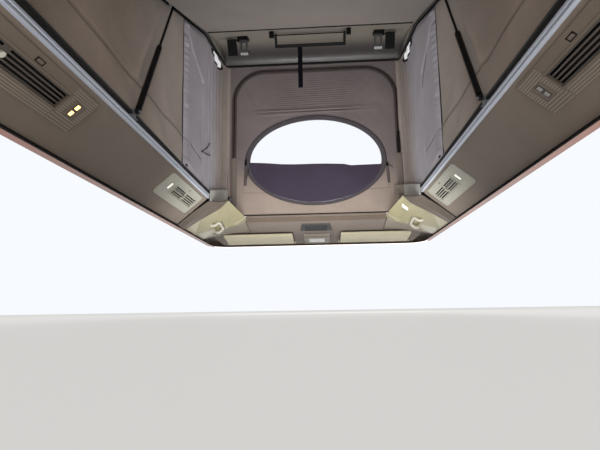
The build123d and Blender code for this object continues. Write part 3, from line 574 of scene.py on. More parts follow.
for side, suffix in SIDES:
    panel = surface_of([frame["nodes"]["corner_panel" + suffix]])

    def under(x, y, out, side=side, panel=panel):
        found = panel.ray_cast(Vector((side * x, y, -0.5)), Vector((0, 0, 1)))[0]
        found = found or panel.find_nearest(Vector((side * x, y, 0.1)))[0]
        return Vector((side * (x - 0.6 * out), y, found.z - 0.8 * out))

    foot_a, foot_b = under(HANDLE_FEET[0], HANDLE_FEET[1], -0.004), under(HANDLE_FEET[0], HANDLE_FEET[2], -0.004)
    bow_a = Vector((side * HANDLE_BOW[0], HANDLE_BOW[1], foot_a.z + 0.018))
    bow_b = Vector((side * HANDLE_BOW[0], HANDLE_BOW[2], foot_b.z + 0.018))
    line = [foot_a, foot_a + Vector((-side * 0.018, 0.002, -0.012)), bow_a,
            bow_b, foot_b + Vector((-side * 0.018, -0.002, -0.012)), foot_b]
    handle = grown("handle_bow" + suffix, tube, [eased(line, HANDLE_BEND)], handle_cream, "handle_plastic",
                   Radius=HANDLE_RADIUS, Sides=16)
    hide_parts("grab_handle" + suffix)

    # A bead closes the panel's front end against the cab lining
    bead = [under(x, y, 0.0015) for x, y in PANEL_END]
    grown("panel_bead" + suffix, tube, [filled(bead)], cream, "corner_cream", Radius=0.0045, Sides=8)
    # A rubber cap closes the rail's end
    def beside(a, b, c, side=side):
        return Vector((side * a, b, c))
    slabs("rail_cap" + suffix, [((0.593, 0.613), (0.783, 0.799), (0.162, 0.206))], beside, rubber_cap, "seal_rubber")

# The right cream panel carries a small flat lamp
LAMP_SPOT = ((0.529, 0.561), (0.999, 1.022), (0.0, 0.003))


def on_panel(a, b, c):
    return under(a, b, c + 0.0005)


slabs("corner_lamp", [LAMP_SPOT], on_panel, white_lens, "vent_plastic")

# The console's lens is clear ribbed plastic over a pale reflector
LENS_GREY, CONSOLE_FACE_Y, CONSOLE_FACE_Z, CONSOLE_FALL = (0.42, 0.42, 0.40), 1.440, 0.024, 0.175
lens_grey = moulded("lens_grey", LENS_GREY, 0.12, 0.5, Coat_Weight=1.0, Coat_Roughness=0.05)


def under_console(x, y, out):
    return Vector((x, y, CONSOLE_FACE_Z - (y - CONSOLE_FACE_Y) * CONSOLE_FALL - out))


slabs("console_lens", [((-0.056, 0.056), (1.442, 1.518), (0.0006, 0.0042))], under_console, lens_grey, "vent_plastic")


# Sun visors and the pull strap
# The visors are soft boards in a knitted cream cover; the strap is black webbing of flat rows.
VISOR_CREAM, WEBBING = (0.60, 0.545, 0.385), (0.0045, 0.0045, 0.0075)

knit, tree, shader = principled("visor_knit", VISOR_CREAM, 0.8, Sheen_Weight=0.2)
placed(tree, felt, shader, Colour=(*VISOR_CREAM, 1), Fibre=0.0007, Wear=0.08)
dress("sun_visor_left", knit)
dress("sun_visor_right", knit)
webbing, tree, shader = principled("webbing", WEBBING, 0.7, Specular_IOR_Level=0.1)
place = object_place(tree)
rows = node(tree, "ShaderNodeTexWave", {"Vector": place, "Scale": 0.314 / 0.0022}, bands_direction="Z").outputs["Fac"]
relief(tree, rows, 0.6, 0.0006, shader.inputs["Normal"])
dress("pull_strap", webbing)


# Roof rails, opening frame and hinges
# The rails are bright extruded aluminium, drawn out along the roof. The folded steel frame of
# the opening and the hinges are painted black, and the seals are matt rubber.
ALUMINIUM, BLACK_STEEL, RUBBER = (0.62, 0.66, 0.75), (0.012, 0.012, 0.013), (0.006, 0.006, 0.007)
# The rail's groove: lowest and highest places, and how far out it starts
GROOVE = (0.1715, 0.1755, 0.5955)

aluminium, tree, shader = principled("extruded_aluminium", ALUMINIUM, 0.4, Metallic=0.6)
place = object_place(tree)
drawn = node(tree, "ShaderNodeMapping", {"Vector": place, "Scale": (900, 3, 900)}).outputs[0]
streaks = noisy(tree, drawn, Scale=1.0, Detail=3.0)
link(tree, ranged(tree, streaks, 0.34, 0.50), shader.inputs["Roughness"])
relief(tree, streaks, 0.12, 0.0002, shader.inputs["Normal"])
black_steel = moulded("black_steel", BLACK_STEEL, 0.5, 0.08, Specular_IOR_Level=0.15)
rubber = moulded("seal_rubber", RUBBER, 0.75, 0.3)



def in_groove(corners, normal):
    """Whether a face of a rail lies in the groove that holds the canvas's welt."""
    low, high, across = GROOVE
    return all(low < corner.z < high and abs(corner.x) > across for corner in corners)


for names, material in ((("rail_left", "rail_right"), aluminium),
                        (("opening_frame", "hinge_bases", "hinge_leaves"), black_steel),
                        (("rail_seals",), rubber)):
    for name in names:
        dress(name, material)
for name in ("rail_left", "rail_right"):
    paint_where(name, rubber, in_groove)

# The lining's felt is turned up behind its top edge as far as the rail
for side, suffix in SIDES:
    def at_lining(along, down, out_of, side=side):
        return off_slope(along, down, out_of, side)
    slabs("lining_edge" + suffix, [((-1.435, 0.780), (-0.0135, 0.0005), (-0.003, 0.0006))], at_lining, lining_felt,
          "lining_fabric")


# Gas struts with their brackets
# Black painted cylinders with a satin finish, dark ground rods, and zinc plated brackets.
strut_black = moulded("strut_black", (0.0035, 0.0035, 0.004), 0.36, 0.05, Specular_IOR_Level=0.22)
zinc = moulded("zinc_plate", (0.34, 0.34, 0.36), 0.48, 0.1, Metallic=0.9)
dull_steel = moulded("dull_steel", (0.12, 0.12, 0.12), 0.42, 0.1, Metallic=0.8)
for side in ("_left", "_right"):
    dress("strut_cylinder" + side, strut_black)
    dress("strut_rod" + side, strut_black)
dress("strut_feet", zinc)
dress("top_latch_hooks", dull_steel)
dress("strut_heads", zinc)


# Black fittings of the top: keder frame, pull bar and latches
latch_black = moulded("latch_black", (0.0035, 0.0035, 0.004), 0.5, 0.15, Specular_IOR_Level=0.12)
keder_black = moulded("keder_black", (0.004, 0.004, 0.0045), 0.7, 0.2, Specular_IOR_Level=0.12)
dress("keder_frame", keder_black)
for name in ("latch_housings", "latch_lever_left", "latch_lever_right", "pull_bar_mount", "pull_bar"):
    dress(name, latch_black)


# Canvas of the raised top: the two side panels
# Coated cotton in taupe grey, held by a welt in the rail below and in the keder frame above. One
# felled seam runs along it at hand height, and it folds down behind the rails as the top closes.
CANVAS, CANVAS_PAINTED_LIGHT = (0.205, 0.160, 0.128), (0.385, 0.328, 0.288)
THREAD, CANVAS_THICK = 0.0011, 0.0016
PANEL_X, PANEL_REAR, PANEL_FOOT, RIM_GAP = 0.604, -1.415, 0.203, 0.003
CREASE_FOOT_Y, CREASE_HEAD_Y = 0.300, 0.250
SEAM_Z, SEAM_WIDTH = 0.350, 0.012
STRUT_FOOT, STRUT_HEAD = (-0.255, 0.212), (0.058, 0.867)

joints = {joint["name"]: joint for joint in frame["joints"]}
HINGE_Y, HINGE_Z = joints["roof_tilt"]["pos_m"][1:]
TILT = radians(joints["roof_tilt"]["range_deg"][1])

cloth, into, out = group("canvas_weave", [("Colour", "Color", (0.5, 0.5, 0.5, 1)), ("Thread", "Float", THREAD),
                                          ("Rumple", "Float", 0.5)],
                         [("Colour", "Color"), ("Roughness", "Float"), ("Normal", "Vector")])
flat_place = node(cloth, "ShaderNodeUVMap", uv_map="cloth").outputs[0]
waves = maths(cloth, "DIVIDE", 0.314, into.outputs["Thread"])
warp, weft = [node(cloth, "ShaderNodeTexWave", {"Vector": flat_place, "Scale": waves},
                   bands_direction=axis).outputs["Fac"]
              for axis in "XY"]
threads = maths(cloth, "MULTIPLY", warp, weft)
slub = noisy(cloth, flat_place, Scale=240.0, Detail=2.0)
patches = noisy(cloth, flat_place, Scale=3.5, Detail=5.0, Roughness=0.62)
rumple = noisy(cloth, flat_place, Scale=11.0, Detail=3.0, Distortion=0.6)
cloud = ranged(cloth, patches, 0.88, 1.1, 0.32, 0.68)
yarn = ranged(cloth, threads, 0.88, 1.06)
speck = ranged(cloth, slub, 0.95, 1.05, 0.3, 0.7)
both = maths(cloth, "MULTIPLY", cloud, yarn)
all_three = maths(cloth, "MULTIPLY", both, speck)
shade = node(cloth, "ShaderNodeVectorMath", {0: into.outputs["Colour"], "Scale": all_three},
             operation="SCALE").outputs[0]
link(cloth, shade, out.inputs["Colour"])
link(cloth, ranged(cloth, patches, 0.66, 0.84), out.inputs["Roughness"])
soft = node(cloth, "ShaderNodeBump", {"Strength": into.outputs["Rumple"], "Distance": 0.008,
                                      "Height": rumple}).outputs[0]
link(cloth, node(cloth, "ShaderNodeBump", {"Strength": 0.3, "Distance": 0.0005, "Height": threads,
                                           "Normal": soft}).outputs[0],
     out.inputs["Normal"])


def woven(name, colour, thread=THREAD, rumple=0.5):
    material, tree, shader = principled(name, colour, 0.75, Sheen_Weight=0.08, Sheen_Roughness=0.4,
                                        Specular_IOR_Level=0.2)
    placed(tree, cloth, shader, Colour=(*colour, 1), Thread=thread, Rumple=rumple)
    return material


def lifted(y, z):
    """The raised place of a point of the top that is known in its closed place."""
    reach, angle = hypot(y - HINGE_Y, z - HINGE_Z), atan2(z - HINGE_Z, y - HINGE_Y) + TILT
    return HINGE_Y + reach * cos(angle), HINGE_Z + reach * sin(angle)


rim_line = [lifted(-1.400, 0.206), lifted(0.800, 0.206), lifted(1.290, 0.088)]


def rim_height(y):
    """Height of the raised keder frame's underside at a place along the roof."""
    (y0, z0), (y1, z1) = rim_line[:2] if y <= rim_line[1][0] else rim_line[1:]
    return z0 + (y - y0) * (z1 - z0) / (y1 - y0)


def blended(low, high, share):
    return low + (high - low) * share


def ridge(distance, width):
    """A smooth ridge, 1 on its line and nothing beyond about twice its width."""
    return exp(-(distance / width) ** 2)


def off_line(y, z, start, end):
    """Distance of a point from a line, and its share along it."""
    along = (end[0] - start[0], end[1] - start[1])
    length = hypot(*along)
    share = ((y - start[0]) * along[0] + (z - start[1]) * along[1]) / length ** 2
    return ((y - start[0]) * along[1] - (z - start[1]) * along[0]) / length, share


def cloth_sheet(name, place, columns, rows, material, ring=False, thick=CANVAS_THICK):
    """A sheet as a fine grid: place gives each point with its place on the flat cloth in metres."""
    mesh = bpy.data.meshes.new(name)
    bm = bmesh.new()
    flat = bm.loops.layers.uv.new("cloth")
    points = [[place(i / columns, j / rows) for j in range(rows + 1)] for i in range(columns + (0 if ring else 1))]
    verts = [[bm.verts.new(point) for point, uv in column] for column in points]
    for i in range(columns):
        for j in range(rows):
            corners = [(i, j), ((i + 1) % len(points), j), ((i + 1) % len(points), j + 1), (i, j + 1)]
            face = bm.faces.new([verts[a][b] for a, b in corners])
            face.smooth = True
            for loop, (a, b) in zip(face.loops, corners):
                loop[flat].uv = points[a][b][1]
    bm.to_mesh(mesh)
    bm.free()
    mesh.materials.append(material)
    piece = new_object(name, mesh)
    wall = piece.modifiers.new("cloth", "SOLIDIFY")
    wall.thickness, wall.offset = thick, 0
    return piece


def drape(y, z, scale=1.0):
    """Soft slack in hanging cloth, in metres."""
    broad, fine = noise.noise(Vector((1.7 * y, 2.3 * z, 3.1))), noise.noise(Vector((6 * y, 5 * z, 8.2)))
    return scale * (0.006 * broad + 0.0022 * fine)


def side_relief(y, z):
    """How far the side panel stands in from its plane."""
    seam = z - SEAM_Z
    felled = 0.0022 * (1 / (1 + exp(-(seam + SEAM_WIDTH) / 0.0015)) - 1 / (1 + exp(-seam / 0.0012)))
    groove = -0.0045 * ridge(seam - 0.002, 0.0035)
    away, share = off_line(y, z, STRUT_FOOT, STRUT_HEAD)
    along_strut = 0.007 * ridge(away + 0.035, 0.016) * max(0.0, sin(pi * min(max(share, 0), 1)))
    pull = 0.004 * sin(19 * (y + 1.6 * z)) * ridge(z - 0.28, 0.16) * ridge(y + 0.1, 0.45)
    hem = -0.004 * ridge(z - PANEL_FOOT, 0.02)
    return felled + groove + along_strut + pull + hem + drape(y, z)


def folding(piece):
    """Give a piece sewn to the canvas its own mesh."""
    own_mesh(piece)
    return piece


def gusset_fold(piece):
    """Give a piece of a gusset its own mesh."""
    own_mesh(piece)


def sewn(piece, slot_name, stands_for=()):
    """A sheet of the canvas belongs to the roof, and may stand for its plain solids."""
    if stands_for:
        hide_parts(*stands_for)
    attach(piece, "roof")
    return piece


# Columns of a row of stitches: step along the seam, then a stitch's length, width and height
STITCH = {"Pitch": 0.0055, "Block": (0.0036, 0.0009, 0.0008)}
THREAD_TAUPE, WELT_AND_SHADE_DARK, HEM_BLACK = (0.060, 0.050, 0.044), (0.014, 0.012, 0.011), (0.008, 0.008, 0.009)
HEM_END_Y = 0.785
thread = moulded("sewing_thread", THREAD_TAUPE, 0.7)
# The dark welt colour also draws the painted shadow lines under seams and along creases
welt = moulded("welt_and_shade_dark", WELT_AND_SHADE_DARK, 0.7, 0.3)
hem_black = woven("hem_tape", HEM_BLACK, 0.0014, 0.1)
side_canvas = woven("canvas", CANVAS)


def tone_cloth(material, axis, start, end, before, after):
    tree = material.node_tree
    weave = next(made for made in tree.nodes if made.type == "GROUP")
    link(tree, running_tone(tree, axis, start, end, before, after), weave.inputs["Colour"])


# Painted light: the side canvas is painted lighter towards the front, where more light falls on it
tone_cloth(side_canvas, "Y", -0.45, 0.15, CANVAS, CANVAS_PAINTED_LIGHT)
SEAM_PLACES = [0.280 - 0.004 * step for step in range(400) if rim_height(0.280 - 0.004 * step) > SEAM_Z + 0.015]
for side, suffix in SIDES:
    def on_side(u, v, side=side):
        foot_y = blended(PANEL_REAR, CREASE_FOOT_Y, u)
        head_y = blended(PANEL_REAR, CREASE_HEAD_Y, u)
        y, z = blended(foot_y, head_y, v), blended(PANEL_FOOT, rim_height(head_y) - RIM_GAP, v)
        return (side * (PANEL_X - side_relief(y, z)), y, z), (y, z)
    piece = cloth_sheet("side_canvas" + suffix, on_side, 250, 130, side_canvas)
    folding(sewn(piece, "canvas_taupe", ["canvas_side" + suffix]))

    canvas_face = surface_of([piece])

    def proud(y, z, out, side=side, canvas_face=canvas_face):
        found = canvas_face.ray_cast(Vector((side * 0.35, y, z)), Vector((side, 0, 0)))[0]
        return found - Vector((side * out, 0, 0))

    # A dark line of painted shadow under the felled seam, two rows of stitches, the crease welt, the black hem
    seam_line = [proud(y, SEAM_Z - SEAM_WIDTH - 0.001, 0.0006) for y in SEAM_PLACES]
    folding(grown("seam_shadow_line" + suffix, tube, [seam_line], welt, "canvas_taupe", Radius=0.0015, Sides=6))
    stitches = [[proud(point.y, point.z + up, 0.0006) for point in seam_line] for up in (-0.006, 0.005)]
    folding(grown("seam_stitches" + suffix, row_of_blocks, stitches, thread, "canvas_taupe", Facing=(-side, 0, 0),
                  **STITCH))
    crease_line = filled([(side * (PANEL_X - 0.003), CREASE_FOOT_Y, PANEL_FOOT + 0.002),
                          (side * (PANEL_X - 0.003), CREASE_HEAD_Y, rim_height(CREASE_HEAD_Y) - 0.004)])
    folding(grown("crease_welt" + suffix, tube, [crease_line], welt, "canvas_taupe", Radius=0.0024, Sides=8))

    def on_hem(u, v, side=side):
        y = blended(PANEL_REAR, HEM_END_Y, u)
        z = PANEL_FOOT + 0.001 + blended(0.015, 0.006, min(max((y + 0.25) / 0.6, 0), 1)) * v
        return (side * (PANEL_X - 0.0045), y, z), (y, z)
    piece = folding(sewn(cloth_sheet("hem_tape" + suffix, on_hem, 200, 2, hem_black), "zip_tape"))


# Canvas gussets, between the side panels and the front
# Each is a bellows fold: a puckered band where it is sewn to the side panel, a second crease
# ahead of it, then soft upright pleats that run out towards the rounded front corner.
CANVAS_COOL_PAINTED_LIGHT, CANVAS_WARM_PAINTED_LIGHT = (0.372, 0.350, 0.382), (0.335, 0.285, 0.255)
WINDOW_WHITE, WINDOW_PAINTED_DAYLIGHT = (0.80, 0.80, 0.80), (0.95, 0.97, 1.0)
PATCH_WHITE, HEM_RUBBER = (0.46, 0.45, 0.42), (0.004, 0.004, 0.0045)
FRONT_Y, FRONT_HALF = 1.121, 0.572
# Columns: place across and along at the foot, its height, then place across and along at the head
GUSSET = ((0.604, 0.300, 0.203, 0.604, 0.250), (0.604, 0.655, 0.203, 0.601, 0.600), (0.604, 0.785, 0.203, 0.600, 0.760),
          (0.602, 0.960, 0.190, 0.592, 0.950), (0.592, 1.080, 0.160, 0.585, 1.070), (0.576, 1.115, 0.140, 0.575, 1.110),
          (0.556, FRONT_Y, 0.130, 0.556, FRONT_Y - 0.004))
# A pulled line in the cloth near its head: from and to, along the roof and up
DIAGONAL = ((0.255, 0.865), (0.600, 0.790))
gusset_lengths = [0.0]
for before, after in zip(GUSSET, GUSSET[1:]):
    gusset_lengths.append(gusset_lengths[-1] + hypot(after[0] - before[0], after[1] - before[1]))


def gusset_row(u):
    """The gusset's foot and head at a share of its length."""
    reach = u * gusset_lengths[-1]
    for (start, end), low, high in zip(zip(gusset_lengths, gusset_lengths[1:]), GUSSET, GUSSET[1:]):
        if reach <= end + 1e-9:
            return [blended(a, b, (reach - start) / (end - start)) for a, b in zip(low, high)]


def gusset_relief(u, y, z, v):
    """How far the gusset stands in from the straight line between its foot and head."""
    crease = blended(CREASE_FOOT_Y, CREASE_HEAD_Y, v)
    second = 0.655 - 0.06 * v
    t = (y - crease) / (second - crease)
    below = 1 / (1 + exp((z - (0.80 - 0.20 * (y - 0.5))) / 0.012))
    rolled = 0.020 * (1 - exp(-max(t, 0) / 0.05)) * exp(-max(t - 0.1, 0) / 0.45)
    waves = noise.noise(Vector((3.1 * z, 19.0 * z, 2.0))) + 0.4 * noise.noise(Vector((7.0, 47.0 * z, 5.0 * y)))
    strength = 0.4 + max(0, noise.noise(Vector((2.1 * z, 6.0, 1.0))))
    gathers = 0.0030 * cos(2 * pi * z / 0.034 + 3 * noise.noise(Vector((4 * z, 1.0, 9.0)))) * strength
    pucker = (0.0080 * waves + gathers) * ridge(t - 0.06, 0.065)
    valley = -0.012 * ridge((y - second) / 0.020, 1) * below
    away, share = off_line(y, z, *DIAGONAL)
    diagonal = -0.008 * ridge(away, 0.012) * (1 if -0.05 < share < 1.1 else 0)
    diagonal -= 0.004 * ridge(z - 0.340, 0.004) / (1 + exp((y - 0.65) / 0.01))
    pleats = 0.0045 * cos(2 * pi * (y - second) / 0.068) * (0.25 + 0.75 * v)
    pleats *= 1 / (1 + exp(-(y - second - 0.05) / 0.02)) / (1 + exp((y - 1.06) / 0.02))
    return rolled + pucker + valley + diagonal + pleats + drape(y, z, 0.8) * (1 - ridge(u - 1, 0.06))


# Painted light: the gussets are the side panels' canvas, painted lighter and cooler for the light on them
gusset_canvas = woven("gusset_canvas", CANVAS_COOL_PAINTED_LIGHT, rumple=0.4)
# Its painted tone turns warmer near the front corner
tone_cloth(gusset_canvas, "Y", 0.80, 1.04, CANVAS_COOL_PAINTED_LIGHT, CANVAS_WARM_PAINTED_LIGHT)
# Painted light: the small window's cloth glows for the daylight through it
window_white, tree, shader = principled("window_white", WINDOW_WHITE, 0.5, Emission_Color=(*WINDOW_PAINTED_DAYLIGHT, 1),
                                        Emission_Strength=0.35)
placed(tree, cloth, shader, Colour=(*WINDOW_WHITE, 1), Thread=0.002, Rumple=0.3)
patch_white = woven("patch_white", PATCH_WHITE, 0.0014, 0.2)
hem_rubber = moulded("hem_rubber", HEM_RUBBER, 0.6, Specular_IOR_Level=0.12)
# Lines on each gusset: places along the roof and heights
GUSSET_LINES = {"_left": (((0.390, 0.341), (0.655, 0.340)),),
                "_right": (((0.382, 0.338), (0.650, 0.345)),
                           ((0.450, 0.800), (0.521, 0.763), (0.565, 0.732), (0.606, 0.691), (0.623, 0.548),
                            (0.637, 0.388), (0.650, 0.352)))}
# Corners of the small window high in each gusset: places along the roof and heights
TOP_WINDOW = ((0.752, 1.080, 0), (0.835, 1.112, 0), (1.010, 1.098, 0), (0.900, 1.034, 0))
# Columns: across, along, foot and head of the white reinforcement at the gusset's lower front corner
FOOT_PATCH = ((0.5925, 0.783, 0.150, 0.214), (0.590, 0.838, 0.155, 0.228), (0.585, 0.960, 0.165, 0.262),
              (0.574, 1.060, 0.160, 0.290), (0.560, 1.098, 0.145, 0.300))
# A black tab sewn over the rail where the crease meets it: blocks as ranges along, up and out
RAIL_TAB = [((-0.014, 0.014), (0, 0.016), (-0.002, 0.004)), ((-0.004, 0.004), (0.010, 0.030), (0.002, 0.006)),
            ((-0.004, 0.016), (0.024, 0.030), (0.002, 0.006))]
# A tie with two ends, sewn flat on the left gusset
TIE = (((0.637, 0.390), (0.702, 0.434), (0.767, 0.487)), ((0.630, 0.392), (0.700, 0.398), (0.778, 0.417)))


for side, suffix in reversed(SIDES):
    def on_gusset(u, v, side=side):
        foot_x, foot_y, foot_z, head_x, head_y = gusset_row(u)
        x, y = blended(foot_x, head_x, v), blended(foot_y, head_y, v)
        z = blended(foot_z, rim_height(head_y) - RIM_GAP, v)
        ends = min(1, v / 0.04, (1 - v) / 0.04) * min(1, (1 - u) / 0.05)
        inward = gusset_relief(u, y, z, v) * max(0, ends)
        turn = min(1, max(0, (u - 0.88) / 0.12))
        return (side * (x - inward * (1 - turn)), y - inward * turn, z), (u * gusset_lengths[-1], z)
    piece = cloth_sheet("gusset" + suffix, on_gusset, 230, 170, gusset_canvas)
    gusset_fold(sewn(piece, "canvas_taupe", ["canvas_gusset" + suffix]))
    gusset_face = surface_of([piece])

    def laid(y, z, out=0.0018, side=side, gusset_face=gusset_face):
        found = gusset_face.ray_cast(Vector((side * 0.35, y, z)), Vector((side, 0, 0)))[0]
        return found - Vector((side * out, 0, 0))

    # Seams and the second crease show as thin dark lines of painted shade
    for row, points in enumerate(GUSSET_LINES[suffix]):
        line = [laid(point.x, point.y) for point in filled([(y, z, 0) for y, z in points], 0.008)]
        gusset_fold(grown(f"gusset_seam_{row}{suffix}", tube, [line], welt, "canvas_taupe", Radius=0.0011, Sides=6))

    def on_window(a, b, grow, out):
        across, along = 2 * a - 1, 2 * b - 1
        across, along = across * (1 - 0.38 * along ** 2) ** 0.5 * grow, along * (1 - 0.38 * across ** 2) ** 0.5 * grow
        low = blended(Vector(TOP_WINDOW[0]), Vector(TOP_WINDOW[3]), (along + 1) / 2)
        high = blended(Vector(TOP_WINDOW[1]), Vector(TOP_WINDOW[2]), (along + 1) / 2)
        spot = blended(low, high, (across + 1) / 2)
        return tuple(laid(spot.x, spot.y, out)), (spot.x, spot.y)

    # A small window high in the gusset, its cloth painted to glow with daylight, with its dark surround
    for label, grow, out, material in (("top_window_rim", 1.22, 0.0025, hem_black),
                                       ("top_window", 0.9, 0.0042, window_white)):
        patch = cloth_sheet(label + suffix, lambda a, b, grow=grow, out=out: on_window(a, b, grow, out), 14, 22,
                            material)
        gusset_fold(sewn(patch, "canvas_taupe"))

    def on_foot_patch(u, v, side=side):
        spot = u * (len(FOOT_PATCH) - 1)
        first = min(int(spot), len(FOOT_PATCH) - 2)
        pairs = zip(FOOT_PATCH[first], FOOT_PATCH[first + 1])
        x, y, low, high = [blended(one, other, spot - first) for one, other in pairs]
        return (side * x, y, blended(low, high, v)), (y, blended(low, high, v))
    patch = sewn(cloth_sheet("foot_patch" + suffix, on_foot_patch, 48, 10, patch_white), "canvas_taupe")
    gusset_fold(patch)

    def at_hook(a, b, c, side=side):
        return Vector((side * (0.596 - c), 0.345 + a, 0.214 + b))
    hook = slabs("rail_tab" + suffix, RAIL_TAB, at_hook, hem_rubber, "keder_black")
    folding(hook)

tie = [[laid(y, z, 0.0032) for y, z in points] for points in TIE]
gusset_fold(grown("gusset_tie", tube, tie, welt, "strap_webbing", Radius=0.0026, Sides=8))


# Front canvas, its arched zip and its oval window
# The front panel is a door that zips out along an arch. The oval window in it has a taped rim,
# and its inner flap hangs down over the lower half.
FRONT_FOOT, FRONT_HEAD, FRONT_FOLD = 0.127, 1.163, 0.150
ARCH_CENTRE, ARCH_HALF, ARCH_TOP, ARCH_R, ZIP_WIDTH = 0.010, 0.552, 1.137, 0.222, 0.030
OVAL_X, OVAL_Z, OVAL_HALF, OVAL_RISE, OVAL_BAND, OVAL_BAND_LOW = 0.007, 0.482, 0.425, 0.278, 0.033, 0.019
# The flap's upper edge: places across and heights
FLAP_EDGE = ((-0.44, 0.480), (-0.22, 0.463), (-0.03, 0.458), (0.19, 0.450), (0.235, 0.440), (0.46, 0.444))


def arch_point(share, inset):
    """A point on the arched zip's line and the way out from it: up one leg, over, and down the other."""
    half, top, radius = ARCH_HALF - inset, ARCH_TOP - inset, ARCH_R - inset
    leg, bend, flat_top = top - radius - FRONT_FOOT, radius * pi / 2, 2 * (half - radius)
    run = share * (2 * leg + 2 * bend + flat_top)
    if run <= leg:
        return (ARCH_CENTRE - half, FRONT_FOOT + run), (-1, 0)
    run -= leg
    if run <= bend:
        turn = run / radius
        point = (ARCH_CENTRE - half + radius * (1 - cos(turn)), top - radius + radius * sin(turn))
        return point, (-cos(turn), sin(turn))
    run -= bend
    if run <= flat_top:
        return (ARCH_CENTRE - half + radius + run, top), (0, 1)
    run -= flat_top
    if run <= bend:
        turn = run / radius
        point = (ARCH_CENTRE + half - radius + radius * sin(turn), top - radius + radius * cos(turn))
        return point, (sin(turn), cos(turn))
    run -= bend
    return (ARCH_CENTRE + half, max(FRONT_FOOT, top - radius - run)), (1, 0)


def to_edge(point, way):
    """Distance from a point to the front panel's outer edge."""
    reach = [((FRONT_HALF if way[0] > 0 else -FRONT_HALF) - point[0]) / way[0]] if abs(way[0]) > 1e-6 else []
    reach += [(FRONT_HEAD - point[1]) / way[1]] if way[1] > 1e-6 else []
    return min(reach)


SLANTED_FOLDS = (((0.28, 0.89), (0.44, 1.07)), ((0.37, 0.86), (0.49, 1.01)), ((0.22, 0.93), (0.33, 1.07)),
                 ((-0.40, 0.86), (-0.47, 1.03)))


def front_relief(x, z):
    """How far the front panel stands in towards the room: slack, fine ribs and two folds."""
    middle = ridge(x - 0.05, 0.47)
    ribs = 0.0015 * sin(2 * pi * z / 0.0157 + 3 * noise.noise(Vector((2 * x, 4 * z, 1)))) * middle
    ribs *= 1 / (1 + exp(-(z - 0.79) / 0.02)) / (1 + exp((z - 1.09) / 0.01))
    folds = sum(0.0035 * ridge(z - place - 0.02 * x, 0.0045) for place in (0.817, 0.840))
    folds *= 1 if abs(x - 0.02) < 0.42 else 0
    for start, end in SLANTED_FOLDS:
        away, share = off_line(x, z, start, end)
        folds += 0.004 * ridge(away, 0.009) * max(0, sin(pi * min(max(share, 0), 1)))
    return ribs + folds + 0.7 * drape(x, z)


def in_front(x, z, forward=0.0):
    return (x, FRONT_Y - 0.002 - forward - front_relief(x, z), z), (x, z)


def beside_arch(u, v):
    point, way = arch_point(u, 0)
    reach = v * to_edge(point, way)
    return in_front(point[0] + reach * way[0], point[1] + reach * way[1])


def arch_reach(angle):
    """Distance from the oval's centre to the inner line of the zip, along an angle."""
    low, high = 0.2, 1.2
    half, top, radius = ARCH_HALF - ZIP_WIDTH, ARCH_TOP - ZIP_WIDTH, ARCH_R - ZIP_WIDTH
    for attempt in range(40):
        middle = (low + high) / 2
        x, z = OVAL_X + middle * cos(angle) - ARCH_CENTRE, OVAL_Z + middle * sin(angle)
        corner = (abs(x) - half + radius, z - top + radius)
        outside = abs(x) > half or z > top or z < FRONT_FOOT or (min(corner) > 0 and hypot(*corner) > radius)
        low, high = (low, middle) if outside else (middle, high)
    return low


DOOR_COLUMNS = 300
door_angles = [2 * pi * step / DOOR_COLUMNS for step in range(DOOR_COLUMNS)]
door_reach = [arch_reach(angle) for angle in door_angles]


def oval_point(angle, grow):
    """A point on the oval in the direction of an angle from its centre."""
    half, rise = OVAL_HALF + grow, OVAL_RISE + grow
    reach = 1 / hypot(cos(angle) / half, sin(angle) / rise)
    return OVAL_X + reach * cos(angle), OVAL_Z + reach * sin(angle)


def band_width(angle):
    """Width of the oval's taped rim: wide round the top, narrow below."""
    return blended(OVAL_BAND_LOW, OVAL_BAND, 1 / (1 + exp(-(sin(angle) + 0.30) / 0.09)))


def on_door(u, v):
    column = round(u * DOOR_COLUMNS) % DOOR_COLUMNS
    angle, reach = door_angles[column], door_reach[column]
    inner = oval_point(angle, band_width(angle) - 0.002)
    outer = (OVAL_X + reach * cos(angle), OVAL_Z + reach * sin(angle))
    return in_front(blended(inner[0], outer[0], v), blended(inner[1], outer[1], v))


def on_zip(u, v):
    (x, z), way = arch_point(u, blended(-0.001, ZIP_WIDTH + 0.001, v))
    return in_front(x, z, 0.0012 + 0.0008 * ridge(v - 0.5, 0.12))


def on_rim(u, v):
    angle = 2 * pi * u
    return in_front(*oval_point(angle, blended(0, band_width(angle), v)), 0.0015 + 0.0012 * sin(pi * v))


def on_flap(u, v):
    half_width = OVAL_HALF - 0.001
    x = OVAL_X + half_width * (2 * u - 1)
    sag = 0.002 * sin(13 * u + 1) * sin(pi * u)
    for (x0, z0), (x1, z1) in zip(FLAP_EDGE, FLAP_EDGE[1:]):
        sag += blended(z0, z1, (x - x0) / (x1 - x0)) if x0 <= x < x1 else 0
    floor_z = OVAL_Z - OVAL_RISE * max(0, 1 - ((x - OVAL_X) / (OVAL_HALF + 0.004)) ** 2) ** 0.5
    z = blended(floor_z, sag, v)
    loose = 0.004 * v * sin(2 * pi * 1.6 * u + 0.6) + 0.006 * noise.noise(Vector((5 * x, 6 * z, 4.4)))
    return (x, FRONT_Y - 0.010 - loose, z), (x, z)


def on_leg_cover(side):
    def place(u, v):
        x = ARCH_CENTRE + side * (ARCH_HALF - ZIP_WIDTH / 2) + (v - 0.5) * (ZIP_WIDTH + 0.007)
        return in_front(x, blended(FRONT_FOOT + 0.004, 0.515, u), 0.0035 + 0.003 * sin(pi * v))
    return place


def on_window_zip(x_foot, x_head, foot, head):
    def place(u, v):
        z = blended(foot, head, u)
        return in_front(blended(x_foot, x_head, u) + (v - 0.5) * 0.019, z, 0.0015 + 0.0015 * sin(pi * v))
    return place


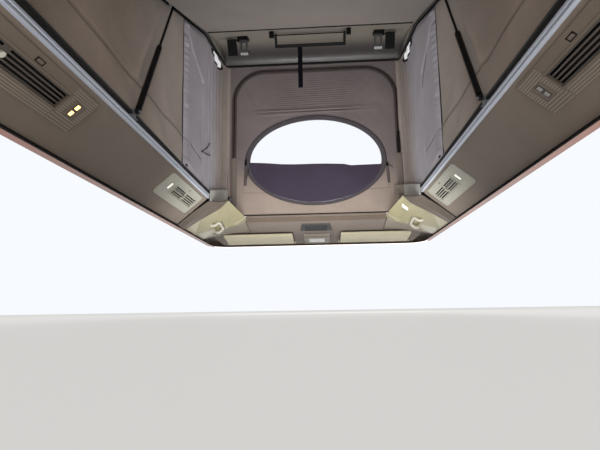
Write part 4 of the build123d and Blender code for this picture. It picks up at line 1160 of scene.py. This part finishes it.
FLAP, ZIP_TAPE, RIM_GREY = (0.058, 0.045, 0.069), (0.084, 0.064, 0.062), (0.088, 0.078, 0.088)
LEG_COVER, LEG_TAPE = (0.200, 0.165, 0.145), (0.115, 0.094, 0.090)
FRONT_PAINTED_LIGHT, FRONT_PAINTED_SHADE = (0.350, 0.284, 0.240), (0.198, 0.167, 0.166)
front_canvas = woven("front_canvas", FRONT_PAINTED_LIGHT, rumple=0.35)
# Painted light and shade: the canvas is painted lighter at its foot, where more light falls, and darker above
tone_cloth(front_canvas, "Z", 0.27, 0.52, FRONT_PAINTED_LIGHT, FRONT_PAINTED_SHADE)
leg_tape, zip_tape = woven("leg_tape", LEG_TAPE, 0.0016, 0.1), woven("zip_tape", ZIP_TAPE, 0.0016, 0.1)
rim_tape, leg_cloth = woven("rim_tape", RIM_GREY, 0.0014, 0.15), woven("leg_cloth", LEG_COVER, rumple=0.2)
flap_cloth = woven("flap_cloth", FLAP, 0.0013, 0.35)
# Columns: piece, its place, grid, cloth, closed into a ring, solids it stands for, slot, flat size and flat area
FRONT_PARTS = (
    ("front_canvas", beside_arch, (300, 14), front_canvas, False, ["canvas_front"], "canvas_taupe", (0.062, 3.1), 0.10),
    ("front_door", on_door, (DOOR_COLUMNS, 66), front_canvas, True, ["canvas_door"], "canvas_taupe", (1.04, 1.0), 0.55),
    ("arch_zip_tape", on_zip, (420, 8), zip_tape, False, ["zip_band"], "zip_tape", (0.032, 2.92), None),
    ("oval_rim", on_rim, (280, 8), rim_tape, True, [], "zip_tape", (0.033, 2.35), 0.062),
    ("zip_cover_left", on_leg_cover(-1), (60, 8), leg_cloth, False, [], "canvas_taupe", (0.038, 0.385), None),
    ("zip_cover_right", on_leg_cover(1), (60, 8), leg_cloth, False, [], "canvas_taupe", (0.038, 0.385), None),
    ("window_zip_left", on_window_zip(-0.451, -0.446, 0.326, 0.489), (30, 4), leg_tape, False, [], "zip_tape",
     (0.019, 0.163), None),
    ("window_zip_right", on_window_zip(0.473, 0.466, 0.317, 0.445), (30, 4), leg_tape, False, [], "zip_tape",
     (0.019, 0.128), None),
    ("window_flap_cloth", on_flap, (160, 50), flap_cloth, False, [], "canvas_taupe", (0.87, 0.27), 0.175))
for name, place, grid, material, ring, stands_for, slot_name, flat_size, flat_area in FRONT_PARTS:
    piece = sewn(cloth_sheet(name, place, *grid, material, ring=ring), slot_name, stands_for)
    folding(piece)

# Zip teeth along the arch, then stitches and a piping round the taped rim
zip_line = [Vector(in_front(*arch_point(share / 500, ZIP_WIDTH / 2)[0], 0.0042)[0]) for share in range(501)]
folding(grown("zip_teeth", row_of_blocks, [zip_line], hem_rubber, "zip_tape",
              Pitch=0.0032, Block=(0.0020, 0.0058, 0.0016), Facing=(0, -1, 0)))


def rim_line_at(grow, out):
    turns = [2 * pi * step / 240 for step in range(240)]
    return [Vector(in_front(*oval_point(turn, grow * band_width(turn)), out)[0]) for turn in turns]


stitch_lines = [rim_line_at(0.12, 0.0026), rim_line_at(0.88, 0.0026)]
folding(grown("rim_stitches", row_of_blocks, stitch_lines, thread, "zip_tape", closed=True,
              Facing=(0, -1, 0), **STITCH))
folding(grown("rim_piping", tube, [rim_line_at(1.0, 0.0022)], welt, "zip_tape", closed=True, Radius=0.0016, Sides=6))
# Seams of the two pockets and of the upper folds, and of the covers over the zip's legs: places across and heights
SEAMS = (((-0.465, 0.326), (-0.466, 0.279), (-0.296, 0.273)), ((0.471, 0.317), (0.471, 0.285), (0.300, 0.280)),
         ((-0.38, 0.823), (0.235, 0.819)), ((-0.38, 0.848), (0.235, 0.845)),
         ((-0.5455, 0.135), (-0.5455, 0.515)), ((-0.5085, 0.135), (-0.5085, 0.515)),
         ((0.5295, 0.135), (0.5295, 0.515)), ((0.5665, 0.135), (0.5665, 0.515)))
flat_lines = [filled([(x, z, 0) for x, z in line]) for line in SEAMS]
lines = [[Vector(in_front(point.x, point.y, 0.0010)[0]) for point in line] for line in flat_lines]
folding(grown("front_seams", tube, lines, thread, "canvas_taupe", Radius=0.0009, Sides=6))
PIPING_X, PIPING_FOOT, PIPING_HEAD = 0.5655, 0.150, 1.150
corner_seams = [filled([(side * PIPING_X, FRONT_Y - 0.004, z) for z in (PIPING_FOOT, PIPING_HEAD)]) for side in (-1, 1)]
folding(grown("front_corner_pipings", tube, corner_seams, thread, "canvas_taupe", Radius=0.0016, Sides=6))

# The canvas's foot is edged with a black welt round both front corners
FOOT_WELT = ((0.600, 0.785, 0.199), (0.595, 0.940, 0.183), (0.583, 1.055, 0.155), (0.566, 1.104, 0.136),
             (0.545, 1.117, 0.128))
foot_line = filled([(-x, y, z) for x, y, z in FOOT_WELT] + list(FOOT_WELT[::-1]))
gusset_fold(grown("foot_welt", tube, [foot_line], hem_rubber, "keder_black", Radius=0.0035, Sides=8))

# Zip pullers of black rubber: a loop on the right leg and two small tabs beside the window
LOOP = ((0.548, 0.646), (0.540, 0.622), (0.536, 0.575), (0.540, 0.530), (0.547, 0.514), (0.553, 0.530), (0.554, 0.580),
        (0.552, 0.622))
loop_line = [Vector((x, FRONT_Y - 0.013, z)) for x, z in LOOP]
folding(grown("zip_pull_loop", tube, [loop_line], hem_rubber, "keder_black", closed=True, Radius=0.0030, Sides=8))


def ahead_of_front(x, z, out):
    return Vector((x, FRONT_Y - 0.004 - out, z))


# Blocks as ranges across, up and out
ZIP_SLIDERS = [((0.540, 0.556), (0.636, 0.662), (0.002, 0.009)), ((-0.452, -0.440), (0.462, 0.500), (0.003, 0.009)),
               ((0.460, 0.472), (0.428, 0.452), (0.003, 0.009))]
ZIP_FOOT_CAP = [((0.503, 0.570), (0.243, 0.300), (0.002, 0.020)), ((0.500, 0.532), (0.238, 0.262), (0.012, 0.026))]
ZIP_FOOT_PLATE = [((-0.592, -0.545), (0.224, 0.250), (0.006, 0.014))]
ZIP_FOOT_STRIKER = [((-0.552, -0.526), (0.218, 0.243), (0.008, 0.022))]
folding(slabs("zip_sliders", ZIP_SLIDERS, ahead_of_front, hem_rubber, "keder_black"))
TABS = (((-0.425, 0.440), (-0.432, 0.405), (-0.441, 0.372)), ((0.468, 0.440), (0.486, 0.430), (0.503, 0.416)))
tab_lines = [[Vector((x, FRONT_Y - 0.012, z)) for x, z in line] for line in TABS]
folding(grown("zip_pull_tabs", tube, tab_lines, hem_rubber, "keder_black", Radius=0.0020, Sides=6))

# A beige cap closes the right leg of the zip; on the left its striker plate is bare
cap_beige = moulded("cap_beige", (0.225, 0.190, 0.160), 0.5)
folding(slabs("zip_foot_cap", ZIP_FOOT_CAP, ahead_of_front, cap_beige, "canvas_taupe", 0.004))
gusset_fold(slabs("zip_foot_plate", ZIP_FOOT_PLATE, ahead_of_front, hem_rubber, "keder_black"))
folding(slabs("zip_foot_striker", ZIP_FOOT_STRIKER, ahead_of_front, zinc, "hook_steel", 0.003))
